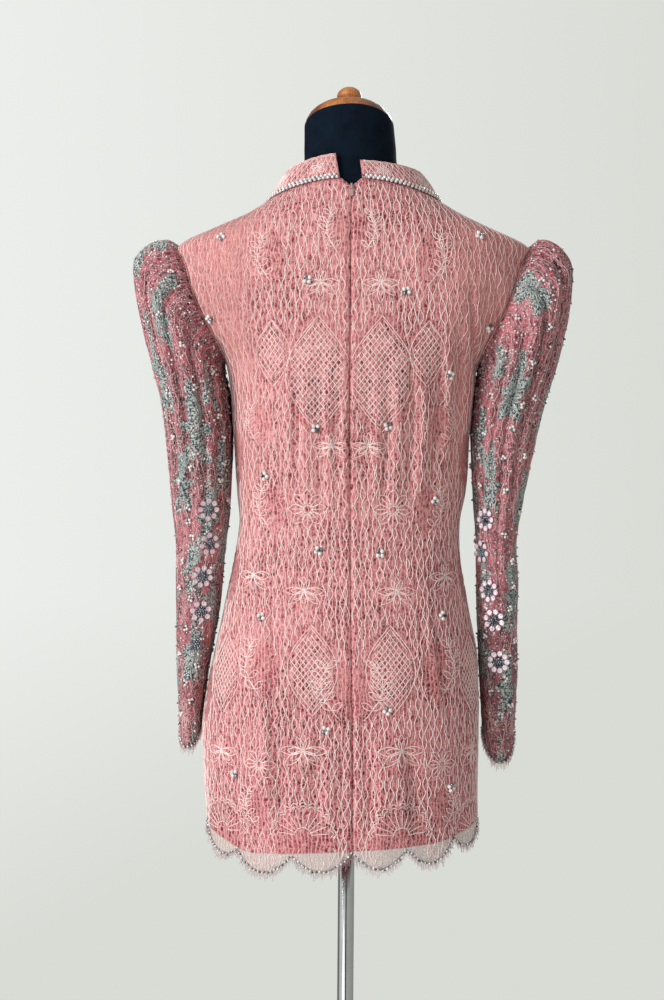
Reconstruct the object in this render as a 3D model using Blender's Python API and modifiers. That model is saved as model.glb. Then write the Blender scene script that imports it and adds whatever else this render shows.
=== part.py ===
"""Lace kebaya blouse worn by a limbless dress form on a pole stand.

The back of the blouse, with its concealed zip, faces -Y; +X is the wearer's right.  The origin is on
the floor, under the pole.  Section tables and sizes are in millimetres; MM turns them into metres when
a mesh is made.  The body of the blouse, its lining, the collar and the form under them are all read
from one surface, torso(angle, level): angle runs round the body from the centre back through the
wearer's right side, and level is the height at which a section crosses the side of the body.
"""
import math

import bpy
import bmesh
import numpy as np
from mathutils import Matrix

MM = 0.001
COLLECTION = "kebaya_blouse_on_dress_form"

# ---------------------------------------------------------------- cloth
LACE_WALL = 1.0
LINING_WALL = 1.2
SLEEVE_WALL = 1.2
COLLAR_WALL = 1.6
LAYER_GAP = 1.05         # lace to lining
SEAM_GAP = 0.3           # between pieces sewn edge to edge
FORM_GAP_SHOULDER = 0.6  # cloth to form where it hangs from the shoulders
FORM_GAP_ARMHOLE = 5.5   # round the armholes
FORM_GAP_BODY = 4.5      # cloth to form from the bust down

# ---------------------------------------------------------------- levels of the body
UNDERARM = 1252.0
SHOULDER = 1381.0
NECKLINE = 1430.0
LINING_HEM = 740.0
ARMHOLE_ROWS = 6         # rows of cloth between underarm and shoulder point
ARMHOLE_BACK = 25.0      # degrees the armhole reaches behind the side
ARMHOLE_FRONT = 24.0     # and in front of it
BODY_LEVELS = [802, 862, 920, 975, 1028, 1077, 1145, 1215]
SHOULDER_LEVELS = [1404]
PANEL_COLUMNS = 14       # columns of lace in a quarter of the body
INNER_STEP = 2           # the lining and the form take every second column
EDGE_SAMPLES = 200       # points at which an edge is measured to share it out evenly

# ---------------------------------------------------------------- hem, zip and fullness
SCALLOPS_PER_QUARTER = 3.5
SCALLOP_TOP = 731.0
SCALLOP_DEPTH = 19.0
HEM_SLOPE = 0.06         # the hem hangs lower on the wearer's left
HEM_CLIMB = {"left": 34.0, "right": 18.0}   # how far the lace's edge climbs at the side seams
HEM_CLIMB_FROM = 0.6     # share of the half width where the climb starts
HEM_CLIMB_TOP = 860.0    # level above which the cloth's rows are level again
LINING_CLIMB = 0.8       # share of the climb that the lining's hem follows
SEAM_DRIFT = 1.9         # degrees the centre back seam wanders to the right by the hem
SEAM_STRAIGHT_FROM = 1200.0
NOTCH_DEPTH = 10.0       # the V between the collar's ends
BUST_LEVEL, BUST_FLAT, BUST_WIDE, BUST_HIGH, BUST_DEEP = 1222.0, 55.0, 46.0, 52.0, 15.0

# Sections of the body, at the lace's outer face.  left and right are half widths, back and front are
# depths from the pole's axis, square is the roundness (2 is an ellipse), and the rises lift the middle
# of the back and front above the section's sides.
TORSO = np.array([
    # level, left, right, back, front, square, back_rise, front_rise
    (700, 152, 144, 118, 104, 2.25, 0, 0),
    (755, 155, 144.5, 118, 104, 2.25, 0, 0),
    (800, 158, 144, 119, 104, 2.30, 0, 0),
    (857, 160, 145, 119, 104, 2.30, 0, 0),
    (890, 156, 145, 117, 103, 2.30, 0, 0),
    (934, 147, 142.5, 110, 101, 2.25, 0, 0),
    (987, 136, 132, 98, 97, 2.20, 0, 0),
    (1040, 126, 123.5, 87, 92, 2.20, 0, 0),
    (1077, 121, 122.5, 83, 90, 2.20, 0, 0),
    (1110, 123.5, 128.5, 84, 93, 2.20, 0, 0),
    (1178, 128.5, 132.5, 90, 103, 2.25, 0, 0),
    (1222, 132, 136.5, 94, 106, 2.30, 0, 0),
    (1252, 138, 141, 97, 104, 2.40, 0, 0),
    (1285, 160, 165, 99, 99, 2.60, 0, -1),
    (1320, 182, 187, 100, 92, 2.60, 2, -5),
    (1355, 189, 194, 98, 86, 2.50, 6, -13),
    (1381, 188.5, 194.5, 92, 82, 2.30, 12, -22),
    (1398, 154, 160, 84, 77, 2.10, 15, -30),
    (1411, 124, 132, 76, 72, 2.00, 18, -37),
    (1430, 92, 98, 64, 66, 2.00, 19, -45),
], dtype=float)

# Soft folds of the skirt: angle and half width in degrees, lift, and the level where they fade out.
FOLDS = np.array([
    # angle, half_width, lift, top
    (-66, 11, 3.0, 930),
    (-44, 9, 2.2, 900),
    (-17, 9, 2.4, 880),
    (13, 9, 2.6, 905),
    (43, 10, 2.2, 870),
    (68, 11, 3.2, 940),
    (112, 11, 2.8, 900),
    (141, 10, 2.4, 880),
    (178, 12, 2.6, 860),
    (216, 10, 2.2, 890),
    (247, 11, 3.0, 920),
], dtype=float)

# Sections of a sleeve from the armhole seam to the cuff: the ends of each section's long axis seen from
# behind (outer and inner edge, measured out from the pole's axis) and its half depth front to back.
SLEEVE_LEFT = np.array([
    # outer_x, outer_z, inner_x, inner_z, half_depth, middle_y
    (189.0, 1381, 138.5, 1252, 47, -2),
    (200.0, 1386, 141.0, 1249, 56, -2),
    (216.0, 1384, 142.5, 1245, 64, -1),
    (230.5, 1374, 142.5, 1240, 69, 0),
    (239.0, 1357, 141.5, 1235, 72, 0),
    (235.0, 1320, 139.5, 1229, 73, 1),
    (226.5, 1281, 137.5, 1220, 70, 2),
    (217.5, 1246, 136.0, 1207, 66, 2),
    (208.5, 1211, 134.0, 1190, 61, 3),
    (203.0, 1172, 132.0, 1166, 57, 3),
    (196.0, 1098, 133.5, 1096, 52, 4),
    (192.0, 1057, 136.5, 1057, 49, 5),
    (191.5, 1013, 140.5, 1013, 46, 7),
    (191.0, 965, 145.5, 967, 43, 9),
    (190.5, 915, 154.5, 917, 40, 11),
    (187.0, 853, 163.0, 857, 37, 12),
], dtype=float)
SLEEVE_RIGHT = np.array([
    # outer_x, outer_z, inner_x, inner_z, half_depth, middle_y
    (195.0, 1381, 141.5, 1252, 47, -2),
    (205.0, 1388, 144.0, 1249, 56, -2),
    (220.0, 1386, 145.5, 1245, 64, -1),
    (234.0, 1375, 145.5, 1240, 69, 0),
    (243.0, 1357, 144.5, 1235, 72, 0),
    (241.5, 1318, 143.5, 1229, 73, 1),
    (234.0, 1277, 142.0, 1220, 70, 2),
    (224.5, 1241, 140.5, 1207, 66, 2),
    (214.5, 1208, 138.5, 1190, 61, 3),
    (206.0, 1171, 136.5, 1167, 57, 3),
    (191.0, 1095, 139.5, 1097, 52, 4),
    (186.0, 1055, 142.0, 1056, 49, 5),
    (188.0, 1013, 143.0, 1013, 46, 7),
    (188.0, 965, 144.0, 966, 43, 9),
    (189.0, 915, 146.5, 916, 40, 11),
    (186.0, 850, 151.0, 850, 37, 12),
], dtype=float)
SLEEVE_SQUARE = 2.2
POINTS_PER_ARMHOLE_EDGE = 3
CUFF_POINT = {"left": 27.0, "right": 36.0}   # how far the cuff's points reach below its sides
GATHER_LIFT = (0, 1.6, 2.2, 2.2, 1.8, 1.2, 0.6, 0.3, 0, 0, 0, 0, 0, 0, 0, 0)
SLEEVE_FOLD_LIFT = (0, 0, 0, 0, 1.0, 2.0, 2.4, 2.4, 2.2, 2.0, 1.8, 1.5, 1.2, 1.0, 0.6, 0)
SLEEVE_FOLD_WAVES = 6
SLEEVE_FOLD_TURN = 0.16  # radians the folds turn from one section to the next

# ---------------------------------------------------------------- collar
COLLAR_COLUMNS = 28
COLLAR_END = {"left": 12.5, "right": 11.5}   # distance of each collar end from the zip
COLLAR_SPLAY = 6.0                           # how much further apart the left end stands at its rim
COLLAR_RIM_SIDE, COLLAR_RIM_FRONT = 1463.0, 1412.0
COLLAR_RIM_BACK = {"left": 1477.0, "right": 1469.0}
COLLAR_RIM_SHAPE = {"left": 73.0, "right": 77.0, "back": 59.0, "front": 58.5}
COLLAR_SQUARE = 2.0

# ---------------------------------------------------------------- eyelash edge
LASH_LENGTH = 8.0
LASH_WIDTH = 1.2
LASH_CORD = 1.6
LASH_GAP = 0.36          # between the cloth's edge and the cord
LASH_LEAN = 1.5          # how far a lash's tip stands out
HEM_LASHES_PER_STEP = 2
CUFF_LASH_EVERY = 3

# ---------------------------------------------------------------- zip
SLIDER_LEVEL = 1419.0
SLIDER_LENGTH, SLIDER_HEIGHT, SLIDER_WIDTH = 8.0, 3.4, 2.0
SLIDER_FOOT, SLIDER_CORNER, CORNER_STEPS = 1.0, 2.4, 4
SLIDER_EYE_LENGTH, SLIDER_EYE_HEIGHT, SLIDER_EYE_ABOVE = 3.6, 1.5, 1.9
PULL_LENGTH, PULL_WIDTH, PULL_THICK, PULL_BAR, PULL_WINDOW_WIDTH, PULL_WINDOW = 14.0, 4.2, 0.8, 0.8, 2.6, 4.4

# ---------------------------------------------------------------- dress form and stand
FORM_UNDERSIDE = 776.0
FORM_NECK = np.array([
    (1450, 62, 61.5, 56.5, 51, 2.0, 14, -28),
    (1468, 53.5, 51.5, 53, 49, 2.0, 12, -20),
    (1490, 52.5, 49.0, 52, 50, 2.0, 14, -17),
    (1513, 52.5, 46.5, 52, 51, 2.0, 17, -17),
], dtype=float)
NECK_TILT = math.atan2(34.0, 103.0)
CAP_RADIUS, CAP_HEIGHT, CAP_SEAT = 49.0, 28.0, 7.0
KNOB_RADIUS, KNOB_HEIGHT, KNOB_TURN = 14.0, 20.5, math.radians(150)
POLE_RADIUS = 9.0
BASE_RADIUS, BASE_EDGE, BASE_THICK = 170.0, 8.0, 14.0
BASE_LIP = 2.0           # bevel at the base's rim
SOCKET_RADIUS, SOCKET_HEIGHT, SOCKET_BEVEL, SOCKET_FOOT = 20.0, 58.0, 3.0, 6.0
TURN_STEPS = 28
DOME_STEPS = 8
STACK_GAP = 0.3


# ================================================================ surfaces
def smooth_rows(table, knots, at):
    """Rows of a table at any place between its knots, on smooth curves through its own rows."""
    slopes = np.gradient(table, knots, axis=0)
    low = np.clip(np.searchsorted(knots, at, side="right") - 1, 0, len(knots) - 2)
    span = (knots[low + 1] - knots[low])[..., None]
    t = (at - knots[low])[..., None] / span
    return ((2 * t**3 - 3 * t**2 + 1) * table[low] + (t**3 - 2 * t**2 + t) * span * slopes[low]
            + (3 * t**2 - 2 * t**3) * table[low + 1] + (t**3 - t**2) * span * slopes[low + 1])


def section_ring(rows, angle, rise_power=2):
    """Points of oval sections at an angle from the centre back; rows have TORSO's columns.

    The middle of the back and front rise above the sides by the square of the depth, or in a plane
    where rise_power is 1.
    """
    level, left, right, back, front, square, back_rise, front_rise = np.moveaxis(rows, -1, 0)
    sine, cosine = np.sin(angle), np.cos(angle)
    across = np.sign(sine) * np.abs(sine) ** (2 / square)
    deep = np.sign(cosine) * np.abs(cosine) ** (2 / square)
    x = across * np.where(sine > 0, right, left)
    y = -deep * np.where(cosine > 0, back, front)
    z = level + np.abs(deep) ** rise_power * np.where(cosine > 0, back_rise, front_rise)
    return np.stack([x, y, z], axis=-1)


def body_surface(angle, level):
    """The lace's outer face without folds; the front is fuller at the bust and spans it smoothly."""
    angle, level = np.broadcast_arrays(np.asarray(angle, float), np.asarray(level, float))
    points = section_ring(smooth_rows(TORSO, TORSO[:, 0], level), angle)
    facing = np.clip(-np.cos(angle), 0, 1) ** 0.5
    apart = np.clip(np.abs(points[..., 0]) - BUST_FLAT, 0, None) / BUST_WIDE
    high = (points[..., 2] - BUST_LEVEL) / BUST_HIGH
    points[..., 1] += BUST_DEEP * facing * np.exp(-apart**2 - high**2)
    return points


def torso(angle, level, lift=0.0):
    """The body surface moved out along its normal by lift."""
    step_angle, step_level = 0.002, 0.4
    along = body_surface(angle + step_angle, level) - body_surface(angle - step_angle, level)
    up = body_surface(angle, level + step_level) - body_surface(angle, level - step_level)
    normal = np.cross(along, up)
    normal /= np.linalg.norm(normal, axis=-1, keepdims=True)
    return body_surface(angle, level) + normal * np.asarray(lift, float)[..., None]


def fold_lift(angle, level):
    """How far the skirt's soft folds stand out: one smooth hump for each row of FOLDS."""
    degrees = (np.degrees(angle) + 90) % 360 - 90
    total = np.zeros(np.broadcast(angle, level).shape)
    for centre, half_width, lift, top in FOLDS:
        fade = np.clip((top - level) / (top - LINING_HEM), 0, 1)
        total = total + lift * fade * np.exp(-((degrees - centre) / half_width) ** 2)
    return total


def even_angles(start, end, count, level):
    """Angles from start to end that step evenly along the body at one level."""
    fine = np.linspace(start, end, EDGE_SAMPLES)
    steps = np.linalg.norm(np.diff(body_surface(fine, level), axis=0), axis=1)
    run = np.concatenate([[0.0], np.cumsum(steps)])
    return np.interp(np.linspace(0, run[-1], count + 1), run, fine)


def armhole_levels():
    """Levels of the rows beside the armhole, closer together at its top and bottom."""
    turn = np.linspace(0, math.pi, ARMHOLE_ROWS + 1)
    return UNDERARM + (SHOULDER - UNDERARM) * (1 - np.cos(turn)) / 2


def armhole_reach(level, widest):
    """Degrees that the armhole reaches from the side at a level: an ellipse between its two ends."""
    middle, half = (UNDERARM + SHOULDER) / 2, (SHOULDER - UNDERARM) / 2
    return widest * np.sqrt(np.clip(1 - ((level - middle) / half) ** 2, 0, 1))


def seam_angle(level):
    """Angle of the centre back seam, which wanders to the right towards the hem."""
    return math.radians(SEAM_DRIFT) * np.clip((SEAM_STRAIGHT_FROM - level) / (SEAM_STRAIGHT_FROM - 700), 0, 1)


def panel_angles(panel, level, armhole=1.0):
    """Column angles of a body panel at one level, from its first seam or armhole edge to its last.

    With armhole 0 the panel runs to the side of the body at every level.
    """
    behind = math.radians(90 - armhole * armhole_reach(level, ARMHOLE_BACK))
    before = math.radians(90 + armhole * armhole_reach(level, ARMHOLE_FRONT))
    if panel == "back_right":
        return even_angles(seam_angle(level), behind, PANEL_COLUMNS, level)
    if panel == "back_left":
        return even_angles(-behind, seam_angle(level), PANEL_COLUMNS, level)
    right = even_angles(before, math.pi, PANEL_COLUMNS, level)
    left = even_angles(math.pi, 2 * math.pi - before, PANEL_COLUMNS, level)
    return np.concatenate([right, left[1:]])


def hem_climb(angle):
    """How far the lace's edge climbs towards the side seams."""
    share = np.clip((np.abs(np.sin(angle)) - HEM_CLIMB_FROM) / (1 - HEM_CLIMB_FROM), 0, 1)
    return np.where(np.sin(angle) > 0, HEM_CLIMB["right"], HEM_CLIMB["left"]) * share**1.5


def raised_level(angle, level):
    """A row's level with its share of the hem's slope and climb, which fade out above the hem."""
    near_hem = np.clip((HEM_CLIMB_TOP - level) / (HEM_CLIMB_TOP - LINING_HEM), 0, 1)
    return level + near_hem * (HEM_SLOPE * body_surface(angle, level)[..., 0] + LINING_CLIMB * hem_climb(angle))


def scallop_level(points, angles):
    """Height of the lace's edge: half sine scallops side by side on a gently sloping hem that climbs
    to the side seams, each of which meets the middle of a scallop."""
    from_side = abs(points[0, 0]) > abs(points[len(points) // 2, 0])
    turn = np.arange(len(points)) * SCALLOPS_PER_QUARTER / PANEL_COLUMNS + (0.5 if from_side else 0.0)
    scallops = SCALLOP_DEPTH * np.abs(np.sin(math.pi * turn))
    return SCALLOP_TOP + HEM_SLOPE * points[:, 0] + hem_climb(angles) - scallops


# ================================================================ meshes and materials
def finish(name, colour, roughness, metallic=0.0):
    """A Principled material; colour is linear RGB."""
    material = bpy.data.materials.new(name)
    material.use_nodes = True
    shader = material.node_tree.nodes["Principled BSDF"]
    shader.inputs["Base Color"].default_value = (*colour, 1.0)
    shader.inputs["Roughness"].default_value = roughness
    shader.inputs["Metallic"].default_value = metallic
    material.diffuse_color = (*colour, 1.0)
    return material


def add_object(name, mesh, material, collection, parent=None):
    piece = bpy.data.objects.new(name, mesh)
    mesh.materials.append(material)
    collection.objects.link(piece)
    piece.parent = parent
    return piece


def closed_mesh(name, vertices, faces, smooth_below=50):
    """A mesh in metres from points in millimetres, its faces turned outwards."""
    mesh = bpy.data.meshes.new(name)
    mesh.from_pydata((np.asarray(vertices) * MM).tolist(), [], faces)
    cage = bmesh.new()
    cage.from_mesh(mesh)
    bmesh.ops.recalc_face_normals(cage, faces=cage.faces)
    cage.to_mesh(mesh)
    cage.free()
    mesh.shade_smooth()
    mesh.set_sharp_from_angle(angle=math.radians(smooth_below))
    return mesh


def grid_faces(rows, columns, start, wrap, flip):
    """Triangles of a grid of points that begins at index start, all split along the same diagonal."""
    faces = []
    for row in range(rows - 1):
        for column in range(columns if wrap else columns - 1):
            following = (column + 1) % columns
            here, beside = start + row * columns + column, start + row * columns + following
            above, across = here + columns, beside + columns
            for triangle in ([here, beside, across], [here, across, above]):
                faces.append(triangle[::-1] if flip else triangle)
    return faces


def cloth_wall(name, outer, inner, wrap=False):
    """A closed wall of cloth between two grids of points, with its edges turned over."""
    rows, columns = outer.shape[:2]
    inside = rows * columns
    faces = grid_faces(rows, columns, 0, wrap, False) + grid_faces(rows, columns, inside, wrap, True)
    rims = [[row * columns + column for column in range(columns)] for row in (0, rows - 1)]
    if wrap:
        rims = [rim + rim[:1] for rim in rims]
        rims[0] = rims[0][::-1]
    else:
        rims[1] = rims[1][::-1]
        right = [row * columns + columns - 1 for row in range(rows)]
        left = [row * columns for row in range(rows)][::-1]
        rims = [rims[0][:-1] + right[:-1] + rims[1][:-1] + left]
    for rim in rims:
        for first, second in zip(rim, rim[1:]):
            faces.append([second, first, first + inside, second + inside])
    vertices = np.concatenate([outer.reshape(-1, 3), inner.reshape(-1, 3)])
    return closed_mesh(name, vertices, faces)


def draw_in(grid, column, towards, distance):
    """Move one edge column of a grid along its rows, away from the seam."""
    direction = grid[:, towards] - grid[:, column]
    grid[:, column] += direction * (distance / np.linalg.norm(direction, axis=-1, keepdims=True))


# ================================================================ pieces of the blouse
def panel_grid(panel, levels, lift, folded=True, scalloped=False, step=1):
    """Points of a body panel at a lift from the lace's outer face."""
    rows = []
    for level in levels:
        angles = panel_angles(panel, level)[::step]
        raised = raised_level(angles, level)
        fold = fold_lift(angles, raised) if folded else np.zeros_like(angles)
        rows.append(torso(angles, raised, lift + fold))
    if scalloped:
        edge = rows[0].copy()
        edge[:, 2] = scallop_level(edge, panel_angles(panel, levels[0]))
        rows.insert(0, edge)
    grid = np.array(rows)
    if panel != "front":
        zip_column = 0 if panel == "back_right" else -1
        grid[-1, zip_column] = torso(np.array(0.0), np.array(NECKLINE - NOTCH_DEPTH), np.array(lift))
    draw_in(grid, 0, 1, SEAM_GAP / 2)
    draw_in(grid, -1, -2, SEAM_GAP / 2)
    return grid


def body_levels(from_level):
    return [from_level] + [float(level) for level in BODY_LEVELS] + list(armhole_levels()) \
        + [float(level) for level in SHOULDER_LEVELS] + [NECKLINE]


def body_panel(layer, panel, material, collection):
    """One panel of the lace or of its lining, cut to the shared surface."""
    levels = body_levels(LINING_HEM)
    if layer == "lining":
        lifts = [-(LACE_WALL + LAYER_GAP), -(LACE_WALL + LAYER_GAP + LINING_WALL)]
        outer, inner = [panel_grid(panel, levels, lift, folded=False, step=INNER_STEP) for lift in lifts]
    else:
        outer, inner = [panel_grid(panel, levels, lift, scalloped=True) for lift in (0.0, -LACE_WALL)]
    mesh = cloth_wall(f"{layer}_{panel}", outer, inner)
    add_object(f"{layer}_{panel}", mesh, material, collection)


def armhole_corners(side):
    """Turn and place of each corner of the armhole's edge, from the shoulder point round the back."""
    turns = np.linspace(0, 2 * math.pi, 2 * ARMHOLE_ROWS + 1)
    levels = UNDERARM + (SHOULDER - UNDERARM) * (1 + np.cos(turns)) / 2
    reach = np.where(np.sin(turns) >= 0, -ARMHOLE_BACK, ARMHOLE_FRONT) * np.abs(np.sin(turns))
    angles = np.radians(90 + reach) * (1 if side == "right" else -1)
    return turns, torso(angles, levels, np.full_like(levels, SEAM_GAP))


def sleeve_grid(side):
    """Outer points of a sleeve: oval sections from its table, gathers at the head, long soft folds."""
    table = SLEEVE_RIGHT if side == "right" else SLEEVE_LEFT
    sign = 1.0 if side == "right" else -1.0
    count = 2 * ARMHOLE_ROWS * POINTS_PER_ARMHOLE_EDGE
    turn = np.arange(count) * 2 * math.pi / count
    corners_turn, corners = armhole_corners(side)
    armhole = np.stack([np.interp(turn, corners_turn, corners[:, axis]) for axis in range(3)], axis=-1)
    power = 2 / SLEEVE_SQUARE
    along = np.sign(np.cos(turn)) * np.abs(np.cos(turn)) ** power
    deep = np.sign(np.sin(turn)) * np.abs(np.sin(turn)) ** power
    rows = [armhole]
    for index in range(1, len(table)):
        outer_x, outer_z, inner_x, inner_z, half_depth, middle_y = table[index]
        upper = (1 + np.cos(turn)) / 2
        gather = GATHER_LIFT[index] * np.where(np.arange(count) % 2, 1, -1) * upper
        waves = np.cos(SLEEVE_FOLD_WAVES * turn + SLEEVE_FOLD_TURN * index)
        swell = 1 + (gather + SLEEVE_FOLD_LIFT[index] * waves * upper**0.5) / half_depth
        x = (outer_x + inner_x) / 2 + (outer_x - inner_x) / 2 * along * swell
        z = (outer_z + inner_z) / 2 + (outer_z - inner_z) / 2 * along * swell
        y = middle_y - half_depth * deep * swell
        if index == len(table) - 1:
            z = z - CUFF_POINT[side] * np.abs(np.sin(turn))
        rows.append(np.stack([sign * x, y, z], axis=-1))
    return np.array(rows)


def ring_grid_normals(grid):
    """Normals of a grid whose columns wrap round, pointing away from each row's middle."""
    around = np.roll(grid, -1, axis=1) - np.roll(grid, 1, axis=1)
    along = np.gradient(grid, axis=0)
    normals = np.cross(around, along)
    normals /= np.linalg.norm(normals, axis=-1, keepdims=True)
    outward = grid - grid.mean(axis=1, keepdims=True)
    return normals * np.sign(np.sum(normals * outward, axis=(1, 2), keepdims=True))


def sleeve(side, material, collection):
    outer = sleeve_grid(side)
    normals = ring_grid_normals(outer)
    inner = outer - SLEEVE_WALL * normals
    add_object(f"sleeve_{side}", cloth_wall(f"sleeve_{side}", outer, inner, wrap=True), material, collection)
    edge = (outer[-1] + inner[-1]) / 2
    return edge, normals[-1]


def collar(material, collection):
    """The stand collar: a band from the neckline to its rim, open at the zip."""
    fine = np.linspace(0, 2 * math.pi, EDGE_SAMPLES)
    neckline = torso(fine, np.full_like(fine, NECKLINE))
    run = np.concatenate([[0.0], np.cumsum(np.linalg.norm(np.diff(neckline, axis=0), axis=1))])
    places = np.linspace(COLLAR_END["right"], run[-1] - COLLAR_END["left"], COLLAR_COLUMNS + 1)
    angle = np.interp(places, run, fine)
    base = torso(angle, np.full_like(angle, NECKLINE))
    splay = np.zeros_like(angle)
    splay[-1] = COLLAR_SPLAY / COLLAR_RIM_SHAPE["back"]
    rims = []
    for side in ("left", "right"):
        row = [COLLAR_RIM_SIDE, *COLLAR_RIM_SHAPE.values(), COLLAR_SQUARE,
               COLLAR_RIM_BACK[side] - COLLAR_RIM_SIDE, COLLAR_RIM_FRONT - COLLAR_RIM_SIDE]
        rims.append(section_ring(np.broadcast_to(np.array(row), (len(angle), 8)), angle - splay))
    rim = np.where(np.sin(angle)[:, None] > 0, rims[1], rims[0])
    rise = (rim - base) / np.linalg.norm(rim - base, axis=-1, keepdims=True)
    start = base + rise * SEAM_GAP * 2
    outer = np.array([start, (start + rim) / 2, rim])
    outward = np.cross(np.gradient(outer, axis=1), np.gradient(outer, axis=0))
    outward /= np.linalg.norm(outward, axis=-1, keepdims=True)
    add_object("collar", cloth_wall("collar", outer, outer - COLLAR_WALL * outward), material, collection)


# ================================================================ eyelash edges
def lash_strip(name, edge, outward, stations, material, collection):
    """A thin cord under a closed edge, with a lash drawn from it at each marked stretch.

    stations lists, for each step of the edge, pairs of place along the step and whether a lash
    starts there.
    """
    vertices, lash_at = [], []
    count = len(edge)
    for step in range(count):
        following = (step + 1) % count
        for place, starts_lash in stations(step):
            point = edge[step] * (1 - place) + edge[following] * place
            out = outward[step] * (1 - place) + outward[following] * place
            out = np.array([out[0], out[1], 0.0]) / math.hypot(out[0], out[1])
            top = point + np.array([0, 0, -LASH_GAP])
            low = top + np.array([0, 0, -LASH_CORD])
            vertices += [top, low + out * LASH_CORD / 2, low - out * LASH_CORD / 2]
            lash_at.append(starts_lash)
    rings = len(lash_at)
    faces = []
    for ring in range(rings):
        a, b = 3 * ring, 3 * ((ring + 1) % rings)
        faces += [[a, a + 1, b + 1, b], [a + 2, a, b, b + 2]]
        bottom = [a + 1, a + 2, b + 2, b + 1]
        if not lash_at[ring]:
            faces.append(bottom)
            continue
        tip = sum(vertices[index] for index in bottom) / 4
        lean = vertices[a + 1] - vertices[a + 2]
        vertices.append(tip + lean / np.linalg.norm(lean) * LASH_LEAN + np.array([0, 0, -LASH_LENGTH]))
        tip_index = len(vertices) - 1
        faces += [[bottom[k], bottom[(k + 1) % 4], tip_index] for k in range(4)]
    add_object(name, closed_mesh(name, vertices, faces), material, collection)


def hem_lashes(material, collection):
    """The lash strip under the lace's scallops, all round the hem."""
    edges = []
    for panel in ("back_right", "front", "back_left"):
        grid = panel_grid(panel, [LINING_HEM], -LACE_WALL / 2, scalloped=True)
        edges.append(grid[0, :-1])
    edge = np.concatenate(edges)
    outward = edge
    step_length = np.linalg.norm(np.roll(edge, -1, axis=0) - edge, axis=1)

    def stations(step):
        marks = [(0.0, False)]
        half = LASH_WIDTH / 2 / step_length[step]
        for lash in range(HEM_LASHES_PER_STEP):
            middle = (lash + 0.5) / HEM_LASHES_PER_STEP
            marks += [(middle - half, True), (middle + half, False)]
        return marks

    lash_strip("lash_edge_hem", edge, outward, stations, material, collection)


def cuff_lashes(side, edge, outward, material, collection):
    step_length = np.linalg.norm(np.roll(edge, -1, axis=0) - edge, axis=1)

    def stations(step):
        half = LASH_WIDTH / 2 / step_length[step]
        if step % CUFF_LASH_EVERY:
            return [(0.0, False)]
        return [(0.0, False), (0.5 - half, True), (0.5 + half, False)]

    lash_strip(f"lash_edge_cuff_{side}", edge, outward, stations, material, collection)


# ================================================================ zip
def flat_outline(name, loops, thickness, material, collection, parent, turn):
    """A plate from closed flat outlines in millimetres, filled between the first and its windows."""
    curve = bpy.data.curves.new(name, "CURVE")
    curve.dimensions = "2D"
    curve.fill_mode = "BOTH"
    curve.extrude = thickness / 2 * MM
    curve.resolution_u = 1
    for loop in loops:
        spline = curve.splines.new("POLY")
        spline.points.add(len(loop) - 1)
        for point, (across, along) in zip(spline.points, loop):
            point.co = (across * MM, along * MM, 0, 1)
        spline.use_cyclic_u = True
    guide = bpy.data.objects.new(f"{name}_outline", curve)
    bpy.context.scene.collection.objects.link(guide)
    depsgraph = bpy.context.evaluated_depsgraph_get()
    mesh = bpy.data.meshes.new_from_object(guide.evaluated_get(depsgraph))
    bpy.data.objects.remove(guide)
    cage = bmesh.new()
    cage.from_mesh(mesh)
    bmesh.ops.remove_doubles(cage, verts=cage.verts, dist=1e-6)
    bmesh.ops.recalc_face_normals(cage, faces=cage.faces)
    cage.to_mesh(mesh)
    cage.free()
    mesh.name = name
    piece = add_object(name, mesh, material, collection, parent)
    piece.matrix_local = turn
    return piece


def arc(centre, radius, start, end, steps):
    """Points of an arc, in degrees."""
    return [(centre[0] + radius * math.cos(math.radians(start + (end - start) * k / steps)),
             centre[1] + radius * math.sin(math.radians(start + (end - start) * k / steps)))
            for k in range(steps + 1)]


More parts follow.
